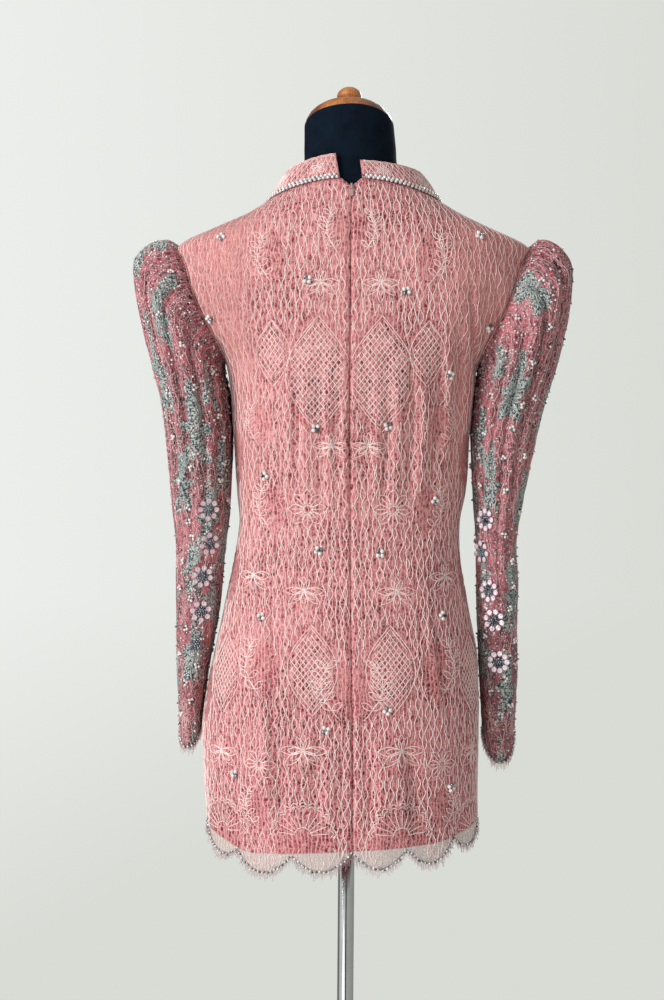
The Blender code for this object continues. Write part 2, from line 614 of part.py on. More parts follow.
def zip_pieces(material, collection):
    """The concealed zip's slider bridge on the seam, and the pull tab hung in its eye."""
    seat = torso(np.array(0.0), np.array(SLIDER_LEVEL), np.array(0.0))
    below = torso(np.array(0.0), np.array(SLIDER_LEVEL - SLIDER_LENGTH), np.array(0.0))
    down = (below - seat) / np.linalg.norm(below - seat)
    slope = math.atan2(-down[1], -down[2])
    # The pivot's frame has X across the seam, Y up along the cloth and Z away from it.
    pivot_height = SEAM_GAP + SLIDER_EYE_ABOVE
    turned = Matrix.Rotation(math.pi / 2 - slope, 4, "X")
    away = turned.to_3x3().col[2]
    pivot = Matrix.Translation([(seat[axis] + away[axis] * pivot_height) * MM for axis in range(3)]) @ turned
    hinge = bpy.data.objects.new("zip_pull_hinge", None)
    collection.objects.link(hinge)
    hinge.matrix_world = pivot

    half, floor = SLIDER_LENGTH / 2, -SLIDER_EYE_ABOVE
    top = floor + SLIDER_HEIGHT
    corner = half - SLIDER_CORNER
    bridge = [(-half, floor), (half, floor), (half, floor + SLIDER_FOOT)] \
        + arc((corner, top - SLIDER_CORNER), SLIDER_CORNER, 0, 90, CORNER_STEPS) \
        + arc((-corner, top - SLIDER_CORNER), SLIDER_CORNER, 90, 180, CORNER_STEPS)
    eye_x, eye_y = SLIDER_EYE_LENGTH / 2, SLIDER_EYE_HEIGHT / 2
    eye = [(-eye_x, -eye_y), (-eye_x, eye_y), (eye_x, eye_y), (eye_x, -eye_y)]
    # The bridge's outline is drawn along the zip and away from the cloth, then turned to stand on it.
    standing = Matrix(((0, 0, 1, 0), (1, 0, 0, 0), (0, 1, 0, 0), (0, 0, 0, 1)))
    flat_outline("zip_slider", [bridge, eye], SLIDER_WIDTH, material, collection, hinge, standing)

    radius, top_bar = PULL_WIDTH / 2, PULL_BAR / 2
    foot = top_bar - PULL_LENGTH
    tab = [(-radius, top_bar), (-radius, foot + radius)] \
        + arc((0, foot + radius), radius, 180, 360, 6)[1:-1] + [(radius, foot + radius), (radius, top_bar)]
    window_x, window_foot = PULL_WINDOW_WIDTH / 2, -top_bar - PULL_WINDOW
    window = [(-window_x, -top_bar), (window_x, -top_bar), (window_x, window_foot), (-window_x, window_foot)]
    flat_outline("zip_pull", [tab, window], PULL_THICK, material, collection, hinge, Matrix.Identity(4))


# ================================================================ dress form and stand
def form_gap(level):
    """Room between cloth and form: close at the shoulders, easy from the bust down."""
    places = [UNDERARM, SHOULDER, SHOULDER_LEVELS[0], NECKLINE]
    return np.interp(level, places, [FORM_GAP_BODY, FORM_GAP_ARMHOLE, FORM_GAP_SHOULDER, FORM_GAP_SHOULDER])


def dress_form(material, collection):
    """The padded form: the body surface drawn in under the lining, closed below, with its neck."""
    levels = [FORM_UNDERSIDE] + [level for level in body_levels(LINING_HEM) if level > FORM_UNDERSIDE]
    inside = -(LACE_WALL + LAYER_GAP + LINING_WALL)
    rows = []
    for level in levels:
        panels = [panel_angles(panel, level, armhole=0) for panel in ("back_right", "front", "back_left")]
        angles = np.concatenate([panel[:-1:INNER_STEP] for panel in panels])
        rows.append(torso(angles, np.full_like(angles, level), np.full_like(angles, inside - form_gap(level))))
    for row in FORM_NECK:
        rows.append(section_ring(np.broadcast_to(row, (len(angles), 8)), angles, rise_power=1))
    grid = np.array(rows)
    columns = grid.shape[1]
    faces = grid_faces(len(grid), columns, 0, True, False)
    faces.append(list(range(columns))[::-1])
    faces.append([(len(grid) - 1) * columns + column for column in range(columns)])
    add_object("form_body", closed_mesh("form_body", grid.reshape(-1, 3), faces), material, collection)


def turned(name, profile, place, material, collection):
    """A turned solid: its profile runs from the top of its axis down its outer side to the bottom."""
    mesh = bpy.data.meshes.new(name)
    points = [(radius * MM, 0, height * MM) for radius, height in profile]
    mesh.from_pydata(points, [(k, k + 1) for k in range(len(points) - 1)], [])
    piece = add_object(name, mesh, material, collection)
    screw = piece.modifiers.new("turn", "SCREW")
    screw.steps = screw.render_steps = TURN_STEPS
    screw.use_merge_vertices = True
    screw.merge_threshold = 0.00005
    piece.matrix_world = place
    return piece


def neck_cap(material, collection):
    """The wooden cap, domed on the neck's slanting cut, and its knob."""
    level, left, right = FORM_NECK[-1][:3]
    centre = Matrix.Translation(((right - left) / 2 * MM, 0, level * MM))
    slant = centre @ Matrix.Rotation(-NECK_TILT, 4, "X")
    seat_turn = math.acos(CAP_SEAT / CAP_RADIUS)
    dome = [(CAP_RADIUS * math.cos(turn), CAP_HEIGHT * math.sin(turn))
            for turn in np.linspace(seat_turn, 0, DOME_STEPS + 1)]
    top = dome[0][1]
    profile = [(0, top)] + dome + [(0, 0)]
    lifted = slant @ Matrix.Translation((0, 0, STACK_GAP * MM))
    turned("form_neck_cap", profile, lifted, material, collection)
    ball = [(KNOB_RADIUS * math.sin(turn), KNOB_HEIGHT / 2 * (1 + math.cos(turn)))
            for turn in np.linspace(0, KNOB_TURN, DOME_STEPS)]
    knob_profile = ball + [(KNOB_RADIUS * math.sin(KNOB_TURN), 0), (0, 0)]
    knob_place = slant @ Matrix.Translation((0, 0, (top + 2 * STACK_GAP) * MM))
    turned("form_neck_knob", knob_profile, knob_place, material, collection)


def stand(pole_material, base_material, collection):
    """The chrome pole from its socket to the form's underside, and the round base."""
    bottom, top = SOCKET_HEIGHT + STACK_GAP, FORM_UNDERSIDE - STACK_GAP
    bpy.ops.mesh.primitive_cylinder_add(vertices=TURN_STEPS, radius=POLE_RADIUS * MM, depth=(top - bottom) * MM,
                                        location=(0, 0, (top + bottom) / 2 * MM))
    pole = bpy.context.object
    pole.name = "stand_pole"
    pole.data.materials.append(pole_material)
    for holder in list(pole.users_collection):
        holder.objects.unlink(pole)
    collection.objects.link(pole)
    profile = [(0, SOCKET_HEIGHT), (SOCKET_RADIUS - SOCKET_BEVEL, SOCKET_HEIGHT),
               (SOCKET_RADIUS, SOCKET_HEIGHT - SOCKET_BEVEL), (SOCKET_RADIUS, BASE_THICK + SOCKET_FOOT),
               (SOCKET_RADIUS + SOCKET_FOOT, BASE_THICK), (BASE_RADIUS - BASE_EDGE, BASE_EDGE + BASE_LIP),
               (BASE_RADIUS - BASE_LIP, BASE_EDGE - BASE_LIP), (BASE_RADIUS, BASE_EDGE / 2),
               (BASE_RADIUS - BASE_LIP, 0), (0, 0)]
    turned("stand_base", profile, Matrix.Identity(4), base_material, collection)


# ================================================================ the model
def main():
    for old in list(bpy.data.objects):
        bpy.data.objects.remove(old)
    collection = bpy.data.collections.new(COLLECTION)
    bpy.context.scene.collection.children.link(collection)

    lace = finish("rose_lace", (0.60, 0.25, 0.25), 0.75)
    satin = finish("rose_satin", (0.52, 0.16, 0.18), 0.45)
    beaded_edge = finish("beaded_lash_edge", (0.42, 0.36, 0.40), 0.5)
    zip_metal = finish("painted_zip", (0.50, 0.20, 0.21), 0.4)
    covering = finish("black_form_cover", (0.012, 0.014, 0.022), 0.85)
    wood = finish("varnished_wood", (0.42, 0.14, 0.04), 0.3)
    chrome = finish("chromed_tube", (0.75, 0.75, 0.76), 0.12, 1.0)
    enamel = finish("enamelled_base", (0.03, 0.03, 0.035), 0.4)

    for panel in ("back_left", "back_right", "front"):
        body_panel("lining", panel, satin, collection)
        body_panel("lace", panel, lace, collection)
    hem_lashes(beaded_edge, collection)
    for side in ("left", "right"):
        edge, outward = sleeve(side, lace, collection)
        cuff_lashes(side, edge, outward, beaded_edge, collection)
    collar(lace, collection)
    zip_pieces(zip_metal, collection)
    dress_form(covering, collection)
    neck_cap(wood, collection)
    stand(chrome, enamel, collection)


main()
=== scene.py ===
"""Rose lace kebaya blouse on a limbless dress form: the dressed visual model.

Laid out as a Blender add-on.  One operator makes each piece, or each group of like pieces, round the
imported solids; main() calls them in order.  Tables and sizes are in millimetres and MM turns them into
metres when a mesh is made.  -Y is the blouse's back, +X is the wearer's right, +Z is up.
"""
import math
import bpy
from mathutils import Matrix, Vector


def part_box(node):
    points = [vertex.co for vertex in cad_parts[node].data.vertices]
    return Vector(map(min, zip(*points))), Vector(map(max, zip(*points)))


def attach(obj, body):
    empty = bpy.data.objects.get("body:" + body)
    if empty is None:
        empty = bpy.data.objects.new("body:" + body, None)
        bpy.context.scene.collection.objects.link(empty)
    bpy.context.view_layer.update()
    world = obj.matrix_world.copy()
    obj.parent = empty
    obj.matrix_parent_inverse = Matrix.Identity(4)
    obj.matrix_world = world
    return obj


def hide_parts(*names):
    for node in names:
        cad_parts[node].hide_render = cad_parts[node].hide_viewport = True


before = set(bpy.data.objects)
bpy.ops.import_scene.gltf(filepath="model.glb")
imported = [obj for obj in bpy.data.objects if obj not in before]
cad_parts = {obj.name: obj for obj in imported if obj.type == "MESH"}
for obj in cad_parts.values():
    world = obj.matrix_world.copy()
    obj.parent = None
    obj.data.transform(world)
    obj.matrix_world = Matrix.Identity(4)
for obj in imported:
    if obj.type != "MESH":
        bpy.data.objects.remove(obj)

from types import SimpleNamespace

import bmesh
import bpy
import numpy as np
from mathutils import Quaternion, Vector

bl_info = {
    "name": "Lace kebaya blouse",
    "version": (1, 0, 0),
    "blender": (4, 5, 0),
    "location": "3D View > Sidebar > Kebaya",
    "description": "Makes a beaded lace blouse, its dress form and its stage",
    "category": "Object",
}

MM = 0.001
ROUND = 2 * math.pi
SIGNS = {"left": -1.0, "right": 1.0}
BODY = "form_and_blouse"
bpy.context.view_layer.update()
SEED = 20

# ------------------------ the shared surface
UNDERARM, SHOULDER, NECKLINE, LINING_HEM = 1252.0, 1381.0, 1430.0, 740.0
ARMHOLE_BACK, ARMHOLE_FRONT = 25.0, 24.0
LACE_WALL, LINING_WALL, LAYER_GAP, SEAM_GAP = 1.0, 1.2, 1.05, 0.3
SCALLOPS_PER_QUARTER, SCALLOP_TOP, SCALLOP_DEPTH, HEM_SLOPE = 3.5, 731.0, 19.0, 0.06
HEM_CLIMB = {"left": 34.0, "right": 18.0}
HEM_CLIMB_FROM, HEM_CLIMB_TOP, LINING_CLIMB = 0.6, 860.0, 0.8
LINING_DROP = 7.0           # how far the satin hangs below its row
SEAM_DRIFT, SEAM_STRAIGHT_FROM, SEAM_FOOT = 1.9, 1200.0, 700.0      # drift in degrees
GROOVE_DEPTH, GROOVE_WIDTH = 1.5, 2.4      # the zip's, and the soft ridge to either side of it
GROOVE_RIDGE, GROOVE_RIDGE_AWAY, GROOVE_RIDGE_WIDTH = 0.7, 5.5, 3.0
RIPPLE, NECK_CALM = 0.35, 60.0             # uneven pull, which dies out this far below the neckline
NOTCH_DEPTH, NOTCH_WIDTH = 10.0, 11.0
BUST_LEVEL, BUST_FLAT, BUST_WIDE, BUST_HIGH, BUST_DEEP = 1222.0, 55.0, 46.0, 52.0, 15.0

TORSO = np.array([
    # level, left, right, back, front, square, back_rise, front_rise
    (700, 152, 144, 118, 104, 2.25, 0, 0),
    (755, 155, 144.5, 118, 104, 2.25, 0, 0),
    (800, 158, 144, 119, 104, 2.30, 0, 0),
    (857, 160, 145, 119, 104, 2.30, 0, 0),
    (890, 156, 145, 117, 103, 2.30, 0, 0),
    (934, 147, 142.5, 110, 101, 2.25, 0, 0),
    (987, 136, 132, 98, 97, 2.20, 0, 0),
    (1040, 126, 123.5, 87, 92, 2.20, 0, 0),
    (1077, 121, 122.5, 83, 90, 2.20, 0, 0),
    (1110, 123.5, 128.5, 84, 93, 2.20, 0, 0),
    (1178, 128.5, 132.5, 90, 103, 2.25, 0, 0),
    (1222, 132, 136.5, 94, 106, 2.30, 0, 0),
    (1252, 138, 141, 97, 104, 2.40, 0, 0),
    (1285, 160, 165, 99, 99, 2.60, 0, -1),
    (1320, 182, 187, 100, 92, 2.60, 2, -5),
    (1355, 189, 194, 98, 86, 2.50, 6, -13),
    (1381, 188.5, 194.5, 92, 82, 2.30, 12, -22),
    (1398, 154, 160, 84, 77, 2.10, 15, -30),
    (1411, 124, 132, 76, 72, 2.00, 18, -37),
    (1430, 92, 98, 64, 66, 2.00, 19, -45),
], dtype=float)

FOLDS = np.array([
    # angle, half_width, lift, top
    (-66, 11, 3.0, 930),
    (-44, 9, 2.2, 900),
    (-17, 9, 2.4, 880),
    (13, 9, 2.6, 905),
    (43, 10, 2.2, 870),
    (68, 11, 3.2, 940),
    (112, 11, 2.8, 900),
    (141, 10, 2.4, 880),
    (178, 12, 2.6, 860),
    (216, 10, 2.2, 890),
    (247, 11, 3.0, 920),
], dtype=float)

SLEEVES = {
    "left": np.array([
        # outer_x, outer_z, inner_x, inner_z, half_depth, middle_y
        (189.0, 1381, 138.5, 1252, 47, -2),
        (200.0, 1386, 141.0, 1249, 56, -2),
        (216.0, 1384, 142.5, 1245, 64, -1),
        (230.5, 1374, 142.5, 1240, 69, 0),
        (239.0, 1357, 141.5, 1235, 72, 0),
        (235.0, 1320, 139.5, 1229, 73, 1),
        (226.5, 1281, 137.5, 1220, 70, 2),
        (217.5, 1246, 136.0, 1207, 66, 2),
        (208.5, 1211, 134.0, 1190, 61, 3),
        (203.0, 1172, 132.0, 1166, 57, 3),
        (196.0, 1098, 133.5, 1096, 52, 4),
        (192.0, 1057, 136.5, 1057, 49, 5),
        (191.5, 1013, 140.5, 1013, 46, 7),
        (191.0, 965, 145.5, 967, 43, 9),
        (190.5, 915, 154.5, 917, 40, 11),
        (187.0, 853, 163.0, 857, 37, 12),
    ], dtype=float),
    "right": np.array([
        # outer_x, outer_z, inner_x, inner_z, half_depth, middle_y
        (195.0, 1381, 141.5, 1252, 47, -2),
        (205.0, 1388, 144.0, 1249, 56, -2),
        (220.0, 1386, 145.5, 1245, 64, -1),
        (234.0, 1375, 145.5, 1240, 69, 0),
        (243.0, 1357, 144.5, 1235, 72, 0),
        (241.5, 1318, 143.5, 1229, 73, 1),
        (234.0, 1277, 142.0, 1220, 70, 2),
        (224.5, 1241, 140.5, 1207, 66, 2),
        (214.5, 1208, 138.5, 1190, 61, 3),
        (206.0, 1171, 136.5, 1167, 57, 3),
        (191.0, 1095, 139.5, 1097, 52, 4),
        (186.0, 1055, 142.0, 1056, 49, 5),
        (188.0, 1013, 143.0, 1013, 46, 7),
        (188.0, 965, 144.0, 966, 43, 9),
        (189.0, 915, 146.5, 916, 40, 11),
        (186.0, 850, 151.0, 850, 37, 12),
    ], dtype=float),
}
SLEEVE_SQUARE = 2.2
CUFF_POINT = {"left": 27.0, "right": 36.0}

COLLAR_END = {"left": 12.5, "right": 11.5}
COLLAR_SPLAY = 6.0
COLLAR_RIM_SIDE, COLLAR_RIM_FRONT = 1463.0, 1412.0
COLLAR_RIM_BACK = {"left": 1477.0, "right": 1469.0}
COLLAR_RIM_SHAPE = {"left": 73.0, "right": 77.0, "back": 59.0, "front": 58.5}
COLLAR_SQUARE, COLLAR_WALL = 2.0, 1.6

FORM_UNDERSIDE = 776.0
FORM_GAPS = {1252.0: 4.5, 1381.0: 5.5, 1404.0: 0.6, 1430.0: 0.6}
FORM_NECK = np.array([
    # level, left, right, back, front, square, back_rise, front_rise
    (1450, 62, 61.5, 56.5, 51, 2.0, 14, -28),
    (1468, 53.5, 51.5, 53, 49, 2.0, 12, -20),
    (1490, 52.5, 49.0, 52, 50, 2.0, 14, -17),
    (1513, 52.5, 46.5, 52, 51, 2.0, 17, -17),
], dtype=float)

# ------------------------ creases laid in one by one
# Each runs through places seen from behind (or from in front) and is a trough of that width and depth,
# with a softer ridge on the side that pushes out.  x, z of its places, then width, depth, ridge.
CREASES = {
    "back": [
        ([(-145, 1345), (-151, 1316), (-147, 1300), (-135, 1250)], 3.2, 3.8, 3.2),
        ([(-161, 1378), (-167, 1357)], 3.0, 1.8, 1.0),
        ([(128, 1341), (133, 1274), (135, 1248)], 3.2, 3.6, 3.0),
        ([(150, 1352), (158, 1322), (156, 1290)], 4.5, 1.6, 1.2),
        ([(-118, 1240), (-104, 1195), (-84, 1160)], 8.0, 1.6, 1.4),
        ([(116, 1236), (104, 1188), (88, 1150)], 8.0, 1.5, 1.3),
        ([(-96, 1330), (-90, 1270), (-94, 1200)], 10.0, 1.2, 1.2),
        ([(92, 1330), (84, 1262), (90, 1205)], 10.0, 1.2, 1.2),
        ([(-112, 1086), (-76, 1072), (-38, 1076)], 7.0, 1.8, 1.4),
        ([(114, 1080), (78, 1066), (40, 1073)], 7.0, 1.8, 1.4),
        ([(-104, 1052), (-70, 1046), (-42, 1050)], 6.0, 1.2, 1.0),
        ([(106, 1049), (70, 1042), (38, 1048)], 6.0, 1.2, 1.0),
        ([(-78, 790), (-81, 900), (-82, 1012)], 3.2, 2.4, 3.8),
        ([(104, 872), (97, 936), (90, 985)], 3.2, 2.2, 3.2),
        ([(-72, 1246), (-74, 1196), (-70, 1130)], 5.2, 2.8, 4.0),
        ([(-54, 1262), (-56, 1190), (-52, 1090)], 5.4, 3.2, 4.4),
        ([(-30, 1256), (-32, 1196), (-27, 1084)], 5.4, 3.0, 4.2),
        ([(-12, 1236), (-14, 1180), (-12, 1096)], 5.0, 2.2, 3.0),
        ([(20, 1240), (22, 1186), (19, 1090)], 5.0, 2.4, 3.2),
        ([(41, 1258), (43, 1190), (39, 1082)], 5.4, 3.0, 4.2),
        ([(67, 1252), (71, 1198), (66, 1096)], 5.4, 3.2, 4.4),
        ([(95, 1282), (98, 1220), (92, 1130)], 5.2, 3.2, 4.4),
        ([(117, 1296), (120, 1232), (114, 1150)], 4.8, 3.0, 4.0),
        ([(-66, 742), (-71, 810), (-70, 870)], 8.0, 4.4, 5.6),
        ([(72, 742), (68, 800), (62, 856)], 8.0, 3.6, 4.6),
        ([(-114, 850), (-118, 800), (-116, 756)], 9.0, 2.0, 1.6),
        ([(22, 850), (27, 795), (25, 742)], 7.0, 3.4, 4.4),
        ([(-28, 850), (-31, 795), (-28, 742)], 7.0, 3.2, 4.4),
        ([(-50, 1398), (-62, 1340), (-56, 1290)], 11.0, 1.1, 1.0),
        ([(54, 1396), (60, 1335), (52, 1285)], 11.0, 1.1, 1.0),
    ],
    "front": [
        ([(-142, 1342), (-147, 1308), (-136, 1252)], 3.6, 2.6, 2.0),
        ([(130, 1344), (137, 1300), (137, 1250)], 3.6, 2.6, 2.0),
        ([(-118, 1256), (-96, 1240), (-74, 1232)], 6.0, 1.6, 1.4),
        ([(118, 1254), (98, 1238), (78, 1231)], 6.0, 1.6, 1.4),
        ([(-84, 1165), (-78, 1100), (-76, 1030)], 2.0, 1.4, 0.9),
        ([(84, 1165), (79, 1100), (78, 1028)], 2.0, 1.4, 0.9),
        ([(-110, 1084), (-74, 1070), (-34, 1076)], 7.0, 1.8, 1.4),
        ([(108, 1080), (72, 1066), (36, 1074)], 7.0, 1.8, 1.4),
        ([(-20, 1190), (0, 1183), (22, 1190)], 9.0, 1.4, 1.2),
        ([(-58, 856), (-64, 800), (-60, 742)], 10.0, 2.0, 1.5),
        ([(64, 850), (72, 800), (70, 742)], 10.0, 2.0, 1.5),
        ([(-106, 860), (-112, 805), (-110, 742)], 9.0, 1.8, 1.5),
        ([(4, 840), (9, 790), (6, 742)], 9.0, 1.8, 1.4),
    ],
}

# ------------------------ beads and embroidery
# Places are x, z seen from behind; the front has its own, laid out in the same way.
BACK_PEARLS = [(-139, 1383), (138, 1385), (-47, 1336), (58, 1325), (-151, 1297), (149, 1290), (106, 1236),
               (-36, 1179), (40, 1180), (-91, 1127), (92, 1102), (-31, 1048), (33, 1046), (-92, 976),
               (101, 977), (41, 880), (-22, 861), (-120, 810), (110, 796)]
FRONT_PEARLS = [(-60, 1345), (62, 1338), (-104, 1296), (101, 1300), (0, 1262), (-58, 1224), (60, 1219),
                (-98, 1168), (96, 1160), (-28, 1146), (30, 1140), (-84, 1076), (86, 1072), (2, 1052),
                (-52, 1001), (54, 996), (-104, 958), (102, 950), (-16, 916), (22, 902), (-70, 868),
                (74, 862), (-124, 822), (118, 818), (0, 800), (-44, 770), (48, 768)]


# ======================== numbers
def arrays(*values):
    """The values as arrays of one shape."""
    return np.broadcast_arrays(*(np.asarray(value, float) for value in values))


def ramp(value, low, high):
    """0 at low, 1 at high, straight between them and level beyond them."""
    return np.clip((value - low) / (high - low), 0, 1)


def bell(value, width):
    """A bell curve: e to the power of minus the square of the value over its width."""
    return np.exp(-(value / width) ** 2)


def signed_power(value, power):
    """The size of a value raised to a power, with the value's sign."""
    return np.sign(value) * np.abs(value) ** power


def unit(vectors):
    """Vectors over their own lengths."""
    return vectors / (np.linalg.norm(vectors, axis=-1, keepdims=True) + 1e-12)


def run_along(line):
    """Distance from a line's first point to each of its points, along it."""
    return np.concatenate([[0.0], np.cumsum(np.linalg.norm(np.diff(line, axis=0), axis=1))])


def normals_of(surface, u, v, step_u, step_v):
    """Normals of a surface of two parameters: the cross product of small steps along each."""
    return unit(np.cross(surface(u + step_u, v) - surface(u - step_u, v),
                         surface(u, v + step_v) - surface(u, v - step_v)))


# ======================== surfaces
def smooth_rows(table, knots, at):
    """Rows of a table at any place between its knots: cubic curves through its rows, with the slopes
    that central differences give."""
    slopes = np.gradient(table, knots, axis=0)
    low = np.clip(np.searchsorted(knots, at, side="right") - 1, 0, len(knots) - 2)
    span = (knots[low + 1] - knots[low])[..., None]
    t = (at - knots[low])[..., None] / span
    return ((2 * t**3 - 3 * t**2 + 1) * table[low] + (t**3 - 2 * t**2 + t) * span * slopes[low]
            + (3 * t**2 - 2 * t**3) * table[low + 1] + (t**3 - t**2) * span * slopes[low + 1])


def section_ring(rows, angle, rise_power=2):
    """Ovals: x and y are the sine and cosine of the angle raised to 2/square, times the half widths and
    depths; the middle of the back and front rise by the depth's share to the power rise_power."""
    level, left, right, back, front, square, back_rise, front_rise = np.moveaxis(rows, -1, 0)
    across, deep = signed_power(np.sin(angle), 2 / square), signed_power(np.cos(angle), 2 / square)
    x = across * np.where(across > 0, right, left)
    y = -deep * np.where(deep > 0, back, front)
    z = level + np.abs(deep) ** rise_power * np.where(deep > 0, back_rise, front_rise)
    return np.stack([x, y, z], axis=-1)


def body_surface(angle, level):
    """The lace's outer face without folds: the section at a level, plus a bell-shaped swelling of the
    bust that is flat between its two points."""
    angle, level = arrays(angle, level)
    points = section_ring(smooth_rows(TORSO, TORSO[:, 0], level), angle)
    facing = np.clip(-np.cos(angle), 0, 1) ** 0.5
    apart = np.clip(np.abs(points[..., 0]) - BUST_FLAT, 0, None)
    high = points[..., 2] - BUST_LEVEL
    points[..., 1] += BUST_DEEP * facing * bell(apart, BUST_WIDE) * bell(high, BUST_HIGH)
    return points


def body_normal(angle, level):
    """Outward normal of the body surface, from small steps round it and up it."""
    return normals_of(body_surface, angle, level, 0.002, 0.4)


def seam_angle(level):
    """The centre back seam's angle: straight down from the neck, then wandering to the right."""
    return math.radians(SEAM_DRIFT) * ramp(level, SEAM_STRAIGHT_FROM, SEAM_FOOT)


LEVELS = np.arange(690.0, 1441.0, 5.0)
TURNS = np.linspace(-0.12, math.pi + 0.12, 240)
RUNS = np.arange(-30.0, 560.0, 2.5)


def run_tables(sign):
    """For one side of the body, the arc length from the middle of the back at each level and turn, and
    the turn for each level and arc length."""
    points = body_surface(sign * TURNS[None, :], LEVELS[:, None])
    run = np.array([run_along(row) for row in points])
    run -= np.array([np.interp(0.0, TURNS, row) for row in run])[:, None]
    return run, np.array([np.interp(RUNS, row, TURNS) for row in run])


TABLES = {sign: run_tables(sign) for sign in (1, -1)}
SEAM_X = body_surface(seam_angle(LEVELS), LEVELS)[:, 0]


def read_table(table, columns, level, at):
    """Bilinear reading of an evenly stepped table whose rows are LEVELS."""
    level, at = arrays(level, at)
    row = np.clip((level - LEVELS[0]) / (LEVELS[1] - LEVELS[0]), 0, len(LEVELS) - 1.001)
    column = np.clip((at - columns[0]) / (columns[1] - columns[0]), 0, len(columns) - 1.001)
    i, j = row.astype(int), column.astype(int)
    down, over = row - i, column - j
    return ((table[i, j] * (1 - down) + table[i + 1, j] * down) * (1 - over)
            + (table[i, j + 1] * (1 - down) + table[i + 1, j + 1] * down) * over)


def run_at(sign, turn, level):
    """Arc length from the middle of the back to a turn, on one side."""
    return read_table(TABLES[sign][0], TURNS, level, turn)


def turn_at(sign, run, level):
    """The turn that lies an arc length away from the middle of the back, on one side."""
    return read_table(TABLES[sign][1], RUNS, level, run)


def armhole_reach(level, widest):
    """Degrees the armhole reaches from the side at a level: an ellipse between underarm and shoulder."""
    middle, half = (UNDERARM + SHOULDER) / 2, (SHOULDER - UNDERARM) / 2
    return widest * np.sqrt(np.clip(1 - ((level - middle) / half) ** 2, 0, 1))


def crease_lift(points, side):
    """Sum over the creases of a trough minus a ridge: each a bell curve of the distance to the crease's
    line, with the ridge 1.6 widths to one side and half as wide again, fading out at both ends."""
    total = np.zeros(points.shape[:-1])
    x, z = points[..., 0], points[..., 2]
    for places, width, depth, ridge in CREASES[side]:
        low = np.min(places, axis=0) - 4 * width
        high = np.max(places, axis=0) + 4 * width
        near = (x > low[0]) & (x < high[0]) & (z > low[1]) & (z < high[1])
        if not near.any():
            continue
        at = np.stack([x[near], z[near]], axis=-1)
        line = np.asarray(places, float)
        legs = np.linalg.norm(np.diff(line, axis=0), axis=1)
        done, best, offset, along = 0.0, np.full(len(at), 1e9), np.zeros(len(at)), np.zeros(len(at))
        for start, end, leg in zip(line, line[1:], legs):
            way = (end - start) / leg
            t = np.clip((at - start) @ way, 0, leg)
            distance = np.linalg.norm(at - start - t[:, None] * way, axis=1)
            closer = distance < best
            best = np.where(closer, distance, best)
            offset = np.where(closer, (at - start) @ np.array([-way[1], way[0]]), offset)
            along = np.where(closer, (done + t) / legs.sum(), along)
            done += leg
        fade = np.sin(math.pi * np.clip(along, 0.02, 0.98)) ** 0.6
        rise = ridge * bell(offset - 1.6 * width, 1.5 * width) * bell(best, 4 * width)
        total[near] += fade * (rise - depth * bell(best, width))
    return total


def cloth_lift(angle, level, points):
    """Soft folds of the skirt, listed creases, the zip's groove and a slight uneven pull."""
    degrees = (np.degrees(angle) + 90) % 360 - 90
    total = np.zeros(points.shape[:-1])
    for centre, half_width, lift, top in FOLDS:
        total += lift * ramp(level, top, LINING_HEM) * bell(degrees - centre, half_width)
    back = np.cos(angle) > 0
    if back.any():
        beside = points[..., 0] - np.interp(level, LEVELS, SEAM_X)
        groove = (GROOVE_RIDGE * bell(np.abs(beside) - GROOVE_RIDGE_AWAY, GROOVE_RIDGE_WIDTH)
                  - GROOVE_DEPTH * bell(beside, GROOVE_WIDTH))
        total += np.where(back, crease_lift(points, "back") + groove, 0)
    if (~back).any():
        total += np.where(back, 0, crease_lift(points, "front"))
    ripple = RIPPLE * np.sin(degrees * 0.31 + 0.012 * level) * np.sin(0.047 * level + 0.05 * degrees)
    return (total + ripple) * ramp(level, NECKLINE, NECKLINE - NECK_CALM)


def cloth(angle, level, lift=0.0):
    """A point of the draped body cloth and its outward normal: the body surface moved out along its
    normal by the lift and the cloth's own folds."""
    angle, level = arrays(angle, level)
    points, normals = body_surface(angle, level), body_normal(angle, level)
    return points + normals * (lift + cloth_lift(angle, level, points))[..., None], normals


# ======================== meshes
def make_mesh(points, face_sets, uv=None, attributes=None):
    """A smooth mesh in metres from points in millimetres and arrays of faces with equal corner counts."""
    mesh = bpy.data.meshes.new("piece")
    mesh.vertices.add(len(points))
    mesh.vertices.foreach_set("co", (np.asarray(points, float) * MM).ravel())
    corners = np.concatenate([faces.ravel() for faces in face_sets])
    totals = np.concatenate([np.full(len(faces), faces.shape[1]) for faces in face_sets])
    mesh.loops.add(len(corners))
    mesh.loops.foreach_set("vertex_index", corners.astype(np.int32))
    mesh.polygons.add(len(totals))
    mesh.polygons.foreach_set("loop_start", np.append(0, np.cumsum(totals)[:-1]).astype(np.int32))
    if uv is not None:
        mesh.uv_layers.new(name="cloth").data.foreach_set("uv", np.asarray(uv, float)[corners].ravel())
    for key, values in (attributes or {}).items():
        mesh.attributes.new(key, "FLOAT", "POINT").data.foreach_set("value", values.ravel())
    mesh.update(calc_edges=True)
    mesh.validate()
    mesh.shade_smooth()
    return mesh


def grid_quads(rows, columns, wrap=False):
    """Quads of a grid of points; with wrap the last column joins the first."""
    column, row = np.meshgrid(np.arange(columns if wrap else columns - 1), np.arange(rows - 1))
    here, beside = row * columns + column, row * columns + (column + 1) % columns
    return np.stack([here, beside, beside + columns, here + columns], axis=-1).reshape(-1, 4)


def sheet_mesh(points, uv, attributes=None):
    """A single-layer sheet from a grid of points."""
    return make_mesh(points.reshape(-1, 3), [grid_quads(*points.shape[:2])], uv.reshape(-1, 2), attributes)


